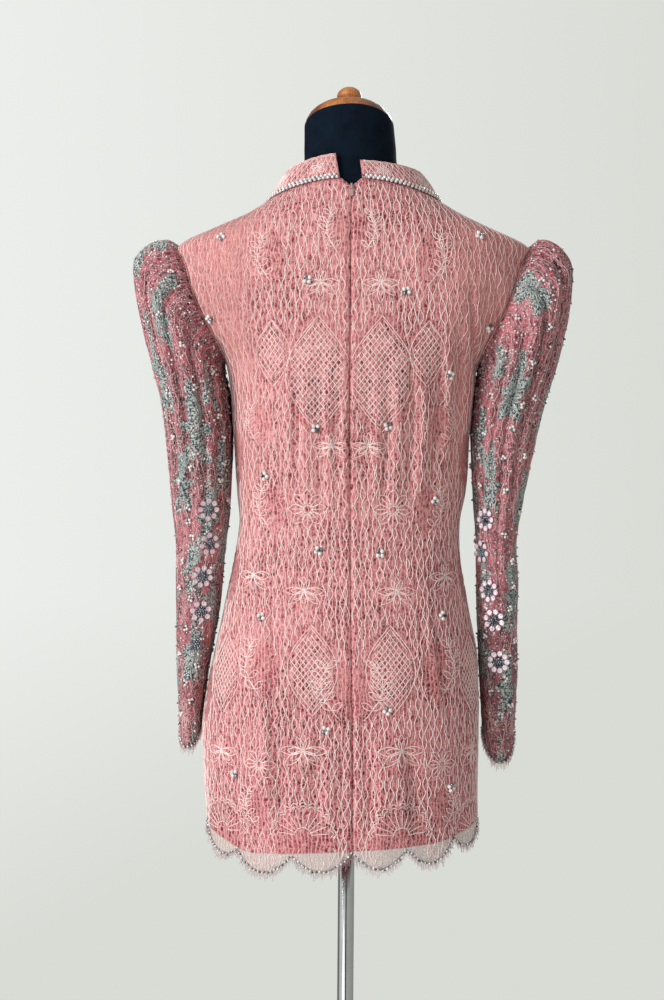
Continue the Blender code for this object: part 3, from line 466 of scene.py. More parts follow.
def closed_rings(rings, top, bottom):
    """Rings of points one below the other, closed by a point at each end.  Points, quads, triangles."""
    count, segments = rings.shape[:2]
    here = np.arange(segments)
    after, pole, last = (here + 1) % segments, np.full(segments, count * segments), (count - 1) * segments
    caps = [np.stack([here, after, pole], -1), np.stack([last + after, last + here, pole + 1], -1)]
    return (np.concatenate([rings.reshape(-1, 3), [top], [bottom]]),
            grid_quads(count, segments, wrap=True)[:, ::-1], np.concatenate(caps))


def turned(profile, segments):
    """A profile of radius and height, from its top to its underside, swept round the z axis."""
    radius, height = np.array(profile, float).T
    turn = np.arange(segments) * ROUND / segments
    rings = np.stack([np.outer(radius, np.cos(turn)), np.outer(radius, np.sin(turn)),
                      np.outer(height, np.ones(segments))], -1)
    return closed_rings(rings[1:-1], (0, 0, height[0]), (0, 0, height[-1]))


def lathe(profile, segments=96):
    """The mesh of a turned profile."""
    points, *face_sets = turned(profile, segments)
    return make_mesh(points, face_sets)


def show(name, mesh, finish, replaced=(), wall=None):
    """Link a finished piece, give its sheet a wall drawn inwards, and tie it to the frame."""
    mesh.name = name
    piece = bpy.data.objects.new(name, mesh)
    bpy.context.scene.collection.objects.link(piece)
    mesh.materials.append(kebaya_material(finish))
    if wall:
        solid = piece.modifiers.new("cloth_wall", "SOLIDIFY")
        solid.thickness, solid.offset = wall * MM, -1.0
        solid.use_rim = True
    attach(piece, BODY)
    if replaced:
        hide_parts(*replaced)
    return piece


# ======================== cords: the corded lines of the lace
def line_of(x, y):
    """A flat line of points from its x and y, either of which may be one number."""
    return np.stack(np.broadcast_arrays(x, y), axis=-1)


def arc(radius, turn):
    """A flat line whose x and y are a radius times the sine and cosine of the turn."""
    return line_of(radius * np.sin(turn), radius * np.cos(turn))


def joined(strands):
    """All the strands' points in one array, with the number of the strand each belongs to."""
    return np.concatenate(strands), np.repeat(np.arange(len(strands)), [len(strand) for strand in strands])


def cut(points, ids, keep):
    """The points where keep is true.  A strand that is cut goes on as another strand, and bits of fewer
    than three points are left out."""
    ids = np.cumsum(np.append(True, (np.diff(ids) != 0) | ~keep[:-1]))
    points, ids = points[keep], ids[keep]
    _, index, counts = np.unique(ids, return_inverse=True, return_counts=True)
    long_enough = counts[index] >= 3
    return points[long_enough], ids[long_enough]


def with_waves(motifs, waves, clear_of):
    """The motifs' strands, and the waves' strands where clear_of says that no motif is in their way."""
    points, ids = joined(motifs)
    wave_points, wave_ids = joined(waves)
    wave_points, wave_ids = cut(wave_points, wave_ids, clear_of(*wave_points.T))
    return np.concatenate([points, wave_points]), np.concatenate([ids, wave_ids + ids[-1] + 1])


def cord_mesh(centres, normals, ids, width, height, sink=0.15):
    """Three-sided cords along strands: two corners in the cloth to either side of the line, at right
    angles to the line's direction and the cloth's normal, and a ridge above it; ends closed."""
    count = len(ids)
    same = ids[1:] == ids[:-1]
    after = np.arange(count) + np.append(same, False)
    before = np.arange(count) - np.append(False, same)
    side = unit(np.cross(normals, unit(centres[after] - centres[before])))
    side *= np.broadcast_to(width, count)[:, None] / 2
    low = centres - normals * sink
    points = np.stack([low + side, centres + normals * height, low - side], axis=1)
    first = np.flatnonzero(same) * 3
    quads = np.concatenate([np.stack([first + j, first + k, first + 3 + k, first + 3 + j], axis=-1)
                            for j, k in ((0, 1), (1, 2), (2, 0))])
    starts = np.flatnonzero(np.append(True, ~same)) * 3
    ends = np.flatnonzero(np.append(~same, True)) * 3
    caps = np.concatenate([np.stack([starts, starts + 2, starts + 1], axis=-1),
                           np.stack([ends, ends + 1, ends + 2], axis=-1)])
    return make_mesh(points.reshape(-1, 3), [quads, caps])


def rotated(strand, degrees, shift=(0.0, 0.0)):
    """A strand turned clockwise about its origin, then moved."""
    turn = math.radians(degrees)
    x, y = strand.T
    return line_of(x * math.cos(turn) + y * math.sin(turn) + shift[0],
                   y * math.cos(turn) - x * math.sin(turn) + shift[1])


def leaf(length, width, count=9):
    """A closed leaf outline from the origin up: half its width times the sine of its length's share."""
    t = np.linspace(0, 1, count)
    half = width / 2 * np.sin(math.pi * t) ** 0.8
    return np.concatenate([line_of(half, length * t), line_of(-half, length * t)[::-1][1:]])


def flower(radius, petals=8):
    """A small circle, and leaf outlines round it with a vein in each."""
    petal = leaf(radius * 0.8, radius * 0.5) + np.array([0, radius * 0.22])
    vein = line_of(0.0, np.linspace(radius * 0.25, radius * 0.8, 4))
    return [arc(radius * 0.2, np.linspace(0, ROUND, 11))] \
        + [rotated(part, 360 * k / petals) for k in range(petals) for part in (petal, vein)]


def fan(radius, rays=11, spread=84):
    """Rays from a point, a row of arches over their tips and an arch round the point."""
    ray = line_of(0.0, np.linspace(radius * 0.28, radius * 0.88, 7))
    half_step = spread / (rays - 1)
    turn = np.radians(np.linspace(-spread - half_step, spread + half_step, rays * 6 + 1))
    arches = np.abs(np.sin(np.linspace(0, rays * math.pi, rays * 6 + 1)))
    return [rotated(ray, degrees) for degrees in np.linspace(-spread, spread, rays)] \
        + [arc(radius * (inner + bump * arches), turn) for inner, bump in ((0.9, 0.1), (0.98, 0.14))] \
        + [arc(radius * 0.28, turn[::4])]


def net(across, up):
    """Two families of slanting lines, cut to an ogee (a pointed oval), in an outline."""
    made = []
    x = np.arange(-across, across, NET_STEP)
    for sign in (1, -1):
        for start in np.arange(-across * NET_STEEP - up, across * NET_STEEP + up, NET_SPACING * 1.5):
            y = sign * NET_STEEP * x + start
            inside = np.abs(x) < 0.94 * across * np.cos(np.clip(y / up, -1, 1) * math.pi / 2)
            if inside.sum() > 2:
                made.append(line_of(x, y)[inside])
    t = np.linspace(-1, 1, 25)
    half = across * np.cos(t * math.pi / 2)
    return made + [line_of(half, up * t), line_of(-half, up * t)]


def palmette(size):
    """Five long drooping petals, each with another inside it, below a small bud."""
    petals = [(reach, degrees) for reach in (1, 0.66) for degrees in (90, 128, 180, 232, 270)]
    return [rotated(leaf(size * reach, size * reach * 0.36), degrees) for reach, degrees in
            petals + [(0.62, -26), (0.7, 0), (0.62, 26)]]


def spray(size):
    """A curling stem with leaves down both sides."""
    t = np.linspace(0, 1, 12)
    stem = line_of(size * 0.35 * np.sin(2.6 * t), size * t)
    return [stem] + [rotated(leaf(size * 0.24, size * 0.1, 6), side * 55, stem[k])
                     for k in (2, 4, 6, 8, 10) for side in (-1, 1)]


NET_SPACING, NET_STEEP, NET_STEP, NET_TALL = 5.2, 1.25, 4.6, 1.75
MOTIF_KINDS = {
    # what draws it, then the oval round it that the waves keep clear of: across, up, shift up, as
    # shares of its size
    "fan": (fan, 1.0, 1.0, 0.0),
    "flower": (flower, 0.85, 0.85, 0.0),
    "palmette": (palmette, 0.8, 0.8, -0.15),
    "spray": (spray, 0.3, 0.5, 0.5),
    "net": (lambda size: net(size, size * NET_TALL), 0.95, NET_TALL, 0.0),
}
MOTIFS = [
    # kind, distance from the middle of the back or front, height, size
    ("fan", 52, 748, 32), ("fan", 152, 746, 32), ("spray", 102, 752, 44), ("flower", 100, 822, 18),
    ("palmette", 52, 838, 26), ("palmette", 152, 832, 24), ("spray", 12, 870, 60), ("spray", 196, 860, 60),
    ("net", 42, 922, 27), ("net", 152, 915, 25), ("spray", 98, 890, 60), ("palmette", 50, 1005, 22),
    ("spray", 160, 990, 60), ("palmette", 112, 1020, 24), ("spray", 88, 1066, 50), ("flower", 46, 1092, 21),
    ("palmette", 20, 1160, 20), ("spray", 150, 1120, 56), ("net", 34, 1236, 35), ("net", 84, 1258, 20),
    ("spray", 104, 1160, 44), ("palmette", 32, 1330, 20), ("spray", 84, 1330, 46), ("spray", 12, 1356, 40),
]
WAVE_SPACING, WAVE_LENGTH, WAVE_SWING, WAVE_STEP = 4.4, 21.0, 1.6, 3.0
HALF_PANEL_REACH = 236.0


def lace_strands():
    """Corded lines on flat cloth: motifs from their table, and between them upright waving lines whose
    neighbours swing opposite ways, so that they part and meet in pointed cells."""
    motifs = [strand + np.array([place, height]) for kind, place, height, size in MOTIFS
              for strand in MOTIF_KINDS[kind][0](size)]
    v = np.arange(SCALLOP_TOP - SCALLOP_DEPTH - 6, NECKLINE, WAVE_STEP)
    waves = []
    for k in range(int(HALF_PANEL_REACH / WAVE_SPACING)):
        swing = WAVE_SWING * (1 + 0.5 * np.sin(v / 43 + 2.4 * k)) * (-1) ** k
        wander = 1.3 * np.sin(v / 31 + 1.9 * k) + 0.9 * np.sin(v / 12 + 2.7 * k)
        place = (k + 0.5) * WAVE_SPACING + wander
        waves.append(line_of(place + swing * np.sin(ROUND * v / WAVE_LENGTH), v))

    def clear_of(run, level):
        """True outside every motif's oval."""
        keep = np.ones(len(run), bool)
        for kind, place, height, size in MOTIFS:
            _, across, up, shift = MOTIF_KINDS[kind]
            keep &= np.hypot((run - place) / across, (level - height - shift * size) / up) > size
        return keep

    return with_waves(motifs, waves, clear_of)


LACE_STRANDS = lace_strands()


# ======================== materials
def linear(code):
    """Linear RGB of an sRGB hex colour."""
    parts = [int(code[k:k + 2], 16) / 255 for k in (1, 3, 5)]
    return tuple(v / 12.92 if v <= 0.04045 else ((v + 0.055) / 1.055) ** 2.4 for v in parts)


def hue(name, share=1.0):
    """A colour of the settings as nodes take it, darkened to a share of itself."""
    return (*(share * part for part in getattr(bpy.context.scene.kebaya_colours, name)), 1.0)


def per_metre(size, features=1.0):
    """A texture's scale from the real size of its grain, in millimetres."""
    return features / (size * MM)


WAVES = math.pi / 10    # a wave texture of scale 1 repeats at this distance


def feed(tree, node, inputs):
    """Set or link a node's inputs, by name or number.  A node stands for its first output in use."""
    for key, value in inputs.items():
        if isinstance(value, bpy.types.Node):
            value = next(output for output in value.outputs if output.enabled)
        if isinstance(value, bpy.types.NodeSocket):
            tree.links.new(value, node.inputs[key])
        else:
            node.inputs[key].default_value = value


def add(tree, kind, inputs=None, stops=(), **settings):
    """Add one node, with its settings, its inputs and, on a ramp, its (place, colour) stops."""
    made = tree.nodes.new("ShaderNode" + kind)
    for key, value in settings.items():
        setattr(made, key, value)
    for _ in stops[2:]:
        made.color_ramp.elements.new(0.5)
    for stop, (place, colour) in enumerate(stops):
        made.color_ramp.elements[stop].position = place
        made.color_ramp.elements[stop].color = colour
    feed(tree, made, inputs or {})
    return made


def new_material(name):
    """An empty material with its nodes, its shader and the place of a point on its piece."""
    material = bpy.data.materials.new(name)
    material.use_nodes = True
    tree = material.node_tree
    return material, tree, tree.nodes["Principled BSDF"], add(tree, "TexCoord").outputs["Object"]


def mottled(name, size, detail, stops, values, relief=None):
    """A finish whose colour wanders between its stops in patches of that size, in mm.  A pair of
    roughness values follows the patches too.  Relief is what raises the surface (waves' settings, or
    None for the patches), the share of it that shows, and its height in mm."""
    material, tree, shader, place = new_material(name)
    patches = add(tree, "TexNoise", {"Vector": place, "Scale": per_metre(size), "Detail": detail})
    values = {**values, "Base Color": add(tree, "ValToRGB", {"Fac": patches}, stops)}
    if isinstance(values["Roughness"], tuple):
        smooth, dull = values["Roughness"]
        values["Roughness"] = add(tree, "MapRange", {**between(patches, (0.35, 0.75)), "To Min": smooth,
                                                     "To Max": dull})
    if relief:
        waves, strength, height = relief
        raised = add(tree, "TexWave", {"Vector": place, **waves}).outputs["Fac"] if waves else patches
        values["Normal"] = add(tree, "Bump", {"Height": raised, "Strength": strength,
                                              "Distance": height * MM})
    feed(tree, shader, values)
    return material


# The cloth's patterns: sizes in mm, and pairs between which a mask goes from nothing to all.
NET_HOLE, NET_THREAD, THREAD_WANDER, THREAD_WIDTH = 4.4, (0.03, 0.13), 4.363, (0.62, 0.86)
CLOUD_WIDE, CLOUD_SMALL, CLOUD_SHARE, CLOUD_STOPS = 71.43, 5.263, 0.65, (0.41, 0.49, 0.6)
WEAVE, WORN, SILK_TWIST, BEAD_GLINT_SIZE, BEAD_GLINT_EDGE = 2.381, (0.3, 0.7), 2.083, 1.5625, (0.6, 0.66)
STITCH_FINE, STITCH_MIDDLE, STITCH_BROAD, SEWN_EDGE = 3.846, 9.091, 16.67, (1.06, 1.13)
PLAIN_SIDE, PLAIN_LEVEL, HEM_SHADE = (92.0, 122.0), (1040.0, 1160.0), (1080.0, 800.0)
HOLE_ALPHA, THREAD_ALPHA = 0.34, 0.8


def between(value, pair, scale=1.0):
    """What a node is fed to take a value from nothing at the pair's first number to all at its second,
    each times a scale."""
    return {"Value": value, "From Min": pair[0] * scale, "From Max": pair[1] * scale}


def fine_lace(tree, uv):
    """Thread of the lace's ground as a 0-1 mask: bobbin net, and fine upright threads that wander.

    The real net's holes are 1 mm; they are drawn 4.4 mm wide so that they show.
    """
    cells = add(tree, "TexVoronoi", {"Vector": uv, "Scale": per_metre(NET_HOLE), "Randomness": 0.8},
                feature="DISTANCE_TO_EDGE")
    mesh_lines = add(tree, "MapRange", {**between(cells, NET_THREAD), "To Min": 0.8, "To Max": 0.0})
    wander = add(tree, "TexWave", {"Vector": uv, "Scale": per_metre(THREAD_WANDER, WAVES),
                                   "Distortion": 7.5, "Detail": 1.5, "Detail Scale": 0.9},
                 bands_direction="X").outputs["Fac"]
    lines = add(tree, "MapRange", between(wander, THREAD_WIDTH))
    return add(tree, "Math", {0: mesh_lines, 1: lines}, operation="MAXIMUM")


def lace_on_satin(name, ground, threads, sheer=False, embroidered=False):
    """Cotton and rayon lace over rose satin: the net's light threads over a mottled, darker sheen that
    deepens towards the hem, matt and soft.  Below the lining the net hangs free, and its holes let the
    light through.  The real weave is 0.3 mm; it is drawn 2.4 mm wide so that it shows."""
    material, tree, shader, place = new_material(name)
    axes = add(tree, "SeparateXYZ", {0: place}).outputs
    thread = fine_lace(tree, add(tree, "UVMap", uv_map="cloth"))
    wide, small, weave = (
        add(tree, "TexNoise", {"Vector": place, "Scale": per_metre(size), "Detail": detail})
        for size, detail in ((CLOUD_WIDE, 3.0), (CLOUD_SMALL, 2.0), (WEAVE, 2.0)))

    # satin: its patches, darker and cooler towards the hem; the darkest patches are partly the satin's
    # uneven tone and partly painted shade between the lace's lines
    cloud = add(tree, "Mix", {"Factor": CLOUD_SHARE, 2: wide, 3: small})
    satin = add(tree, "ValToRGB", {"Fac": cloud}, [(at, hue(key)) for at, key in zip(CLOUD_STOPS, ground)])
    low = add(tree, "MapRange", between(axes["Z"], HEM_SHADE, MM))
    satin = add(tree, "Mix", {"Factor": low, 6: satin, 7: hue("hem_tint")}, data_type="RGBA",
                blend_type="MULTIPLY")

    # the net over it, worn unevenly
    worn = add(tree, "MapRange", {**between(weave, WORN), "To Min": 0.4, "To Max": 0.9})
    amount = add(tree, "Math", {0: thread, 1: worn}, operation="MULTIPLY")
    colour = add(tree, "Mix", {"Factor": amount, 6: satin, 7: hue(threads)}, data_type="RGBA")
    height = thread

    if embroidered:
        # grey silk where the piece's mask and the stitches' ragged edge add up to enough
        fine, middle, broad, twist, fleck = (
            add(tree, "TexNoise", {"Vector": place, "Scale": per_metre(size), "Detail": detail})
            for size, detail in ((STITCH_FINE, 3.0), (STITCH_MIDDLE, 2.0), (STITCH_BROAD, 3.0),
                                 (SILK_TWIST, 2.0), (BEAD_GLINT_SIZE, 2.0)))
        mask = add(tree, "Attribute", attribute_name="embroidery").outputs["Fac"]
        both = add(tree, "Math", {0: fine, 1: middle}, operation="ADD")
        ragged = add(tree, "Math", {0: broad, 1: 0.8, 2: mask}, operation="MULTIPLY_ADD")
        ragged = add(tree, "Math", {0: both, 1: 0.25, 2: ragged}, operation="MULTIPLY_ADD")
        sewn = add(tree, "MapRange", between(ragged, SEWN_EDGE))
        silk = add(tree, "ValToRGB", {"Fac": twist}, [
            (0.38, hue("embroidery_deep")), (0.5, hue("embroidery")), (0.62, hue("embroidery_pale"))])
        colour = add(tree, "Mix", {"Factor": sewn, 6: colour, 7: silk}, data_type="RGBA")
        # painted highlights: pale flecks stand for tiny white beads and for the glints of tiny sequins
        bead_glints = add(tree, "MapRange", between(fleck, BEAD_GLINT_EDGE))
        colour = add(tree, "Mix", {"Factor": bead_glints, 6: colour, 7: hue("cord")}, data_type="RGBA")
        height = add(tree, "Math", {0: thread, 1: sewn}, operation="ADD")

    if sheer:
        # plain satin at the upper sides
        aside = add(tree, "Math", {0: axes["X"]}, operation="ABSOLUTE")
        aside = add(tree, "MapRange", {**between(aside, PLAIN_SIDE, MM), "To Max": 0.5})
        upper = add(tree, "MapRange", between(axes["Z"], PLAIN_LEVEL, MM))
        plain = add(tree, "Math", {0: aside, 1: upper}, operation="MULTIPLY")
        colour = add(tree, "Mix", {"Factor": plain, 6: colour, 7: hue("satin_plain")}, data_type="RGBA")
        # free net below the lining, open in its holes
        above = add(tree, "Attribute", attribute_name="above_lining").outputs["Fac"]
        lined = add(tree, "MapRange", between(above, (-LINING_DROP - 1.7, -LINING_DROP - 0.3)))
        holes = add(tree, "MapRange", {"Value": thread, "To Min": HOLE_ALPHA, "To Max": THREAD_ALPHA})
        feed(tree, shader, {"Alpha": add(tree, "Math", {0: lined, 1: holes}, operation="MAXIMUM")})
        colour = add(tree, "Mix", {"Factor": lined, 6: hue("sheer"), 7: colour}, data_type="RGBA")

    raised = add(tree, "Bump", {"Height": height, "Strength": 0.7, "Distance": 0.9 * MM})
    grain = add(tree, "Bump", {"Height": weave, "Strength": 0.25, "Distance": 0.3 * MM, "Normal": raised})
    feed(tree, shader, {"Base Color": colour, "Normal": grain, "Roughness": 0.7, "Specular IOR Level": 0.25,
                        "Sheen Weight": 0.05})
    return material


def spun_thread(name, colour, deep):
    """A corded rayon thread: fine twist, slightly glossy where it turns to the light.  The real twist is
    0.5 mm long; it is drawn 1.7 mm long so that it shows."""
    return mottled(name, 1.667, 2.0, [(0.35, hue(deep)), (0.6, hue(colour))],
                   {"Roughness": 0.6, "IOR": 1.5, "Sheen Weight": 0.2}, (None, 0.3, 0.2))


def satin_lining(name):
    """Polyester satin, woven: smooth, with a soft long sheen.  Its ribs are drawn 2.4 mm wide so that
    they show."""
    return mottled(name, 83.33, 2.0, [(0.3, hue("satin_deep")), (0.7, hue("satin"))],
                   {"Roughness": 0.38, "IOR": 1.55, "Sheen Weight": 0.15},
                   ({"Scale": per_metre(2.417, WAVES), "Distortion": 0.6}, 0.15, 0.2))


def bead(name, colour, deep, metallic, rough, coat):
    """Drilled glass or plastic beads: a tint that varies from bead to bead under a clear skin."""
    return mottled(name, 3.846, 1.0, [(0.35, hue(deep)), (0.6, hue(colour))],
                   {"Metallic": metallic, "Roughness": rough, "Coat Weight": coat, "Coat Roughness": 0.1})


def knitted_cover(name):
    """Black cotton jersey over padding: matt, with fine knitted ribs, drawn 2.6 mm apart so that they
    show."""
    return mottled(name, 16.67, 4.0, [(0.3, hue("cover_deep")), (0.7, hue("cover"))],
                   {"Roughness": 0.95, "Specular IOR Level": 0.12},
                   ({"Scale": per_metre(2.618, WAVES), "Distortion": 1.2, "Detail": 2.0}, 0.2, 0.3))


def varnished_pine(name):
    """Turned pine under an orange-brown varnish: rings about the turning axis, 11 mm apart, and grain
    6 mm across and four and a half times as long."""
    material, tree, shader, place = new_material(name)
    stretched = add(tree, "Mapping", {"Vector": place, "Scale": (1.0, 1.0, 0.22)})
    grain = add(tree, "TexNoise", {"Vector": stretched, "Scale": per_metre(6.25), "Detail": 5.0,
                                   "Distortion": 0.6})
    rings = add(tree, "TexWave", {"Vector": stretched, "Scale": per_metre(11.22, WAVES), "Distortion": 3.5,
                                  "Detail": 2.0}, wave_type="RINGS").outputs["Fac"]
    mixed = add(tree, "Math", {0: grain, 1: rings}, operation="MULTIPLY")
    colour = add(tree, "ValToRGB", {"Fac": mixed}, [(0.08, hue("wood_deep")), (0.32, hue("wood")),
                                                    (0.6, hue("wood_pale"))])
    raised = add(tree, "Bump", {"Height": grain, "Strength": 0.08, "Distance": 0.4 * MM})
    feed(tree, shader, {"Base Color": colour, "Normal": raised, "Roughness": 0.34, "IOR": 1.5,
                        "Coat Weight": 0.6, "Coat Roughness": 0.12})
    return material


def metal(name, colour, smooth, dull, metallic, coat):
    """Plated or enamelled steel: even colour, with faint handling marks in its gloss."""
    return mottled(name, 28.57, 6.0, [(0.3, hue(colour, 0.86)), (0.6, hue(colour))],
                   {"Roughness": (smooth, dull), "Metallic": metallic, "Coat Weight": coat})


def pale_paint(name, colour):
    """Matt emulsion on a smooth board."""
    return mottled(name, 333.3, 3.0, [(0.3, hue(colour, 0.96)), (0.7, hue(colour))], {"Roughness": 0.85})


BODY_SATIN = ("satin_deep", "satin", "satin_warm")
# the sleeves' ground colours carry painted shade as well as the doubled lace's deeper colour
SHADED_SLEEVE_SATIN = ("sleeve_deep", "sleeve", "sleeve_warm")
FINISHES = {
    "rose_lace_on_satin": (lace_on_satin, BODY_SATIN, "lace", True),
    "rose_lace_collar": (lace_on_satin, BODY_SATIN, "lace"),
    "embroidered_rose_lace": (lace_on_satin, SHADED_SLEEVE_SATIN, "sleeve_lace", False, True),
    "rose_cording": (spun_thread, "cord", "cord_deep"),
    "deep_rose_cording": (spun_thread, "sleeve_cord", "sleeve_lace"),
    "grey_silk_cording": (spun_thread, "embroidery_pale", "embroidery"),
    "rose_satin_lining": (satin_lining,),
    "pearl_bead": (bead, "pearl", "pearl_deep", 0.0, 0.22, 0.5),
    "silver_lined_bead": (bead, "silver", "silver_deep", 0.7, 0.25, 0.6),
    "lilac_sequin": (bead, "sequin", "sequin_deep", 0.1, 0.28, 0.7),
    "black_jersey": (knitted_cover,),
    "varnished_pine": (varnished_pine,),
    "chromed_steel": (metal, "chrome", 0.1, 0.19, 1.0, 0.0),
    "black_enamel": (metal, "enamel", 0.32, 0.47, 0.0, 0.3),
    "rose_zip_enamel": (metal, "zip_pull", 0.35, 0.5, 0.6, 0.3),
    "pale_floor": (pale_paint, "floor"),
}


def kebaya_material(key):
    """The named material, made the first time that a piece asks for it."""
    if key not in bpy.data.materials:
        maker, *values = FINISHES[key]
        maker(key, *values)
    return bpy.data.materials[key]


# ======================== settings
def length(name, size, description):
    """A length that is given in millimetres and kept in metres."""
    return bpy.props.FloatProperty(name=name, description=description, default=size * MM, min=0.0,
                                   precision=4, subtype="DISTANCE", unit="LENGTH")


def tint(name, code, description):
    """A colour that is given as sRGB hex."""
    return bpy.props.FloatVectorProperty(name=name, description=description, subtype="COLOR", size=3,
                                         min=0.0, max=1.0, default=linear(code))


class KebayaSizes(bpy.types.PropertyGroup):
    """Sizes of the trimmings."""
    cord_width: length("Cord width", 1.2, "Width of the lace's corded lines")
    cord_height: length("Cord height", 0.5, "How far the corded lines stand out")
    edge_cord: length("Edge cord", 1.8, "Width of the cord along the hem and cuffs")
    lash_length: length("Lash length", 8.0, "Length of the threads under the hem")
    lash_width: length("Lash width", 0.4, "Thickness of one of those threads")
    pearl_radius: length("Pearl radius", 2.3, "Radius of the pearls in the clusters")
    trim_pearl: length("Trim pearl", 1.9, "Radius of the pearls round the collar")
    seed_bead: length("Seed bead", 1.25, "Radius of the small beads")
    sequin_radius: length("Sequin radius", 3.1, "Radius of the cupped sequins")
    floor_radius: length("Floor radius", 1500.0, "Radius of the round floor")


def sizes_in_mm():
    """The sizes of the settings, in millimetres."""
    sizes = bpy.context.scene.kebaya_sizes
    return SimpleNamespace(**{key: getattr(sizes, key) / MM for key in KebayaSizes.__annotations__})


class KebayaColours(bpy.types.PropertyGroup):
    """Colours of the cloth, trimmings, form and stage."""
    satin: tint("Satin", "#b2555e", "Rose satin under the lace")
    # partly painted shade: the deep satin is darkened to stand for the shade between the lace's lines
    satin_deep: tint("Deep satin", "#74242f", "Its darker patches")
    satin_warm: tint("Warm satin", "#d28483", "Its warmer patches")
    satin_plain: tint("Plain satin", "#d58f8b", "Satin at the sides, where the lace is plain")
    hem_tint: tint("Hem tint", "#eccbda", "What the satin's colours are multiplied by at the hem")
    # partly painted shade: the sleeves' colours are a darker copy of the body lace's; they stand for the
    # shade the sleeves hang in, together with the deeper colour of their doubled unlined lace
    sleeve: tint("Sleeve", "#873846", "Ground of the sleeves, under their embroidery")
    sleeve_deep: tint("Deep sleeve", "#360f19", "Its darker patches")
    sleeve_warm: tint("Warm sleeve", "#cb6673", "Its warmer patches")
    sleeve_lace: tint("Sleeve lace", "#c08c90", "Threads of the lace's net on the sleeves")
    sleeve_cord: tint("Sleeve cord", "#e6b9b8", "Corded lines on the sleeves")
    lace: tint("Lace", "#f3b9b7", "Threads of the lace's net")
    sheer: tint("Sheer lace", "#e2cdc7", "The net where it hangs free below the lining")
    cord: tint("Cord", "#fff1ee", "Corded lines of the lace")
    cord_deep: tint("Deep cord", "#f0bdbb", "Shaded side of their twist")
    embroidery: tint("Embroidery", "#6d7779", "Grey silk on the sleeves")
    embroidery_deep: tint("Deep embroidery", "#2d353a", "Its darker stitches")
    embroidery_pale: tint("Pale embroidery", "#c9d0cb", "Its lighter stitches")
    pearl: tint("Pearl", "#fbf4ef", "Pearl beads")
    pearl_deep: tint("Deep pearl", "#dccaca", "Their darker tint")
    silver: tint("Silver bead", "#aeb7c3", "Silver lined beads")
    silver_deep: tint("Deep silver bead", "#2f3542", "Their darker tint")
    sequin: tint("Sequin", "#fff6fa", "Cupped sequins")
    sequin_deep: tint("Deep sequin", "#f0cdde", "Their darker tint")
    cover: tint("Form cover", "#0b1a2a", "Jersey on the form")
    cover_deep: tint("Deep form cover", "#060f1a", "Its shaded knit")
    wood: tint("Wood", "#b0622c", "Varnished cap and knob")
    wood_deep: tint("Deep wood", "#7a3b17", "Dark grain of the wood")
    wood_pale: tint("Pale wood", "#cf8546", "Pale grain of the wood")
    chrome: tint("Chrome", "#cfd0d2", "Plated pole")
    enamel: tint("Enamel", "#1b1b1d", "Round base")
    zip_pull: tint("Zip pull", "#d9b3b0", "Slider and pull tab")
    floor: tint("Floor", "#dfe0dc", "Floor of the stage")
    backdrop: tint("Backdrop", "#ebeeea", "Surroundings on the lit side")
    backdrop_shade: tint("Shaded backdrop", "#d9dbd5", "Surroundings on the far side")


# ======================== the body of the blouse
BACK_SHARES = np.concatenate([[0, 0.004, 0.009, 0.015, 0.023, 0.033], np.linspace(0.045, 1, 61)])
HEM_ROWS, SKIRT_ROWS, ARMHOLE_ROWS, SHOULDER_ROWS = 8, 98, 30, 12


def hem_climb(angle):
    """How far the lace's edge climbs towards the side seams: the sine's size past a start, to the power
    of one and a half."""
    side = np.sin(angle)
    climb = np.where(side > 0, HEM_CLIMB["right"], HEM_CLIMB["left"])
    return climb * ramp(np.abs(side), HEM_CLIMB_FROM, 1) ** 1.5


def raised_level(angle, level):
    """A row's level with its share of the hem's slope and climb, which fade out above the hem."""
    slope = HEM_SLOPE * body_surface(angle, np.maximum(level, LINING_HEM))[..., 0]
    return level + ramp(level, HEM_CLIMB_TOP, LINING_HEM) * (slope + LINING_CLIMB * hem_climb(angle))


def scallop(share, angle):
    """Height of the hem: half sines side by side on a gentle slope that climbs to the side seams."""
    turn = math.pi * SCALLOPS_PER_QUARTER * share
    slope = HEM_SLOPE * body_surface(angle, LINING_HEM)[..., 0]
    return SCALLOP_TOP + slope + hem_climb(angle) - SCALLOP_DEPTH * np.abs(np.sin(turn)) ** 0.9


def edge_turns(sign, panel, level):
    """Turns of a panel's two edges on one side of the body: middle seam and side or armhole."""
    if panel == "back":
        return sign * seam_angle(level), math.pi / 2 - np.radians(armhole_reach(level, ARMHOLE_BACK))
    return np.full_like(level, math.pi), math.pi / 2 + np.radians(armhole_reach(level, ARMHOLE_FRONT))


def notch(run, level):
    """How far the neckline dips beside the zip: a straight slope over the notch's width."""
    return NOTCH_DEPTH * ramp(run, NOTCH_WIDTH, 0) * ramp(level, SHOULDER, NECKLINE)


def half_panel(sign, panel, shares, lift, rows, hem):
    """Points, uv and height above the lining's row, of half a body panel: columns at shares of the way
    from the middle to the side, rows at levels; below the lining's row they close up to the scallops."""
    middle, side = edge_turns(sign, panel, rows)
    start, end = run_at(sign, middle, rows)[:, None], run_at(sign, side, rows)[:, None]
    inset = SEAM_GAP / 2 * np.sign(end - start)
    run = start + inset + (end - start - 2 * inset) * shares
    level = rows[:, None] + np.zeros(len(shares))
    above = level - LINING_HEM
    level = raised_level(sign * turn_at(sign, run, level), level)
    if hem:
        low = rows.searchsorted(LINING_HEM)
        drop = (LINING_HEM - rows[:low, None]) / (LINING_HEM - rows[0])
        edge = scallop(shares, sign * turn_at(sign, run[low], LINING_HEM))
        level[:low] = level[low] - drop * (level[low] - edge)
        above[:low] = level[:low] - level[low]
        run[:low] = run[low]
    if panel == "back":
        level = level - notch(np.abs(run - start), level)
    points, _ = cloth(sign * turn_at(sign, run, level), level, lift)
    return points, np.stack([sign * (run - start), level], axis=-1) * MM, above


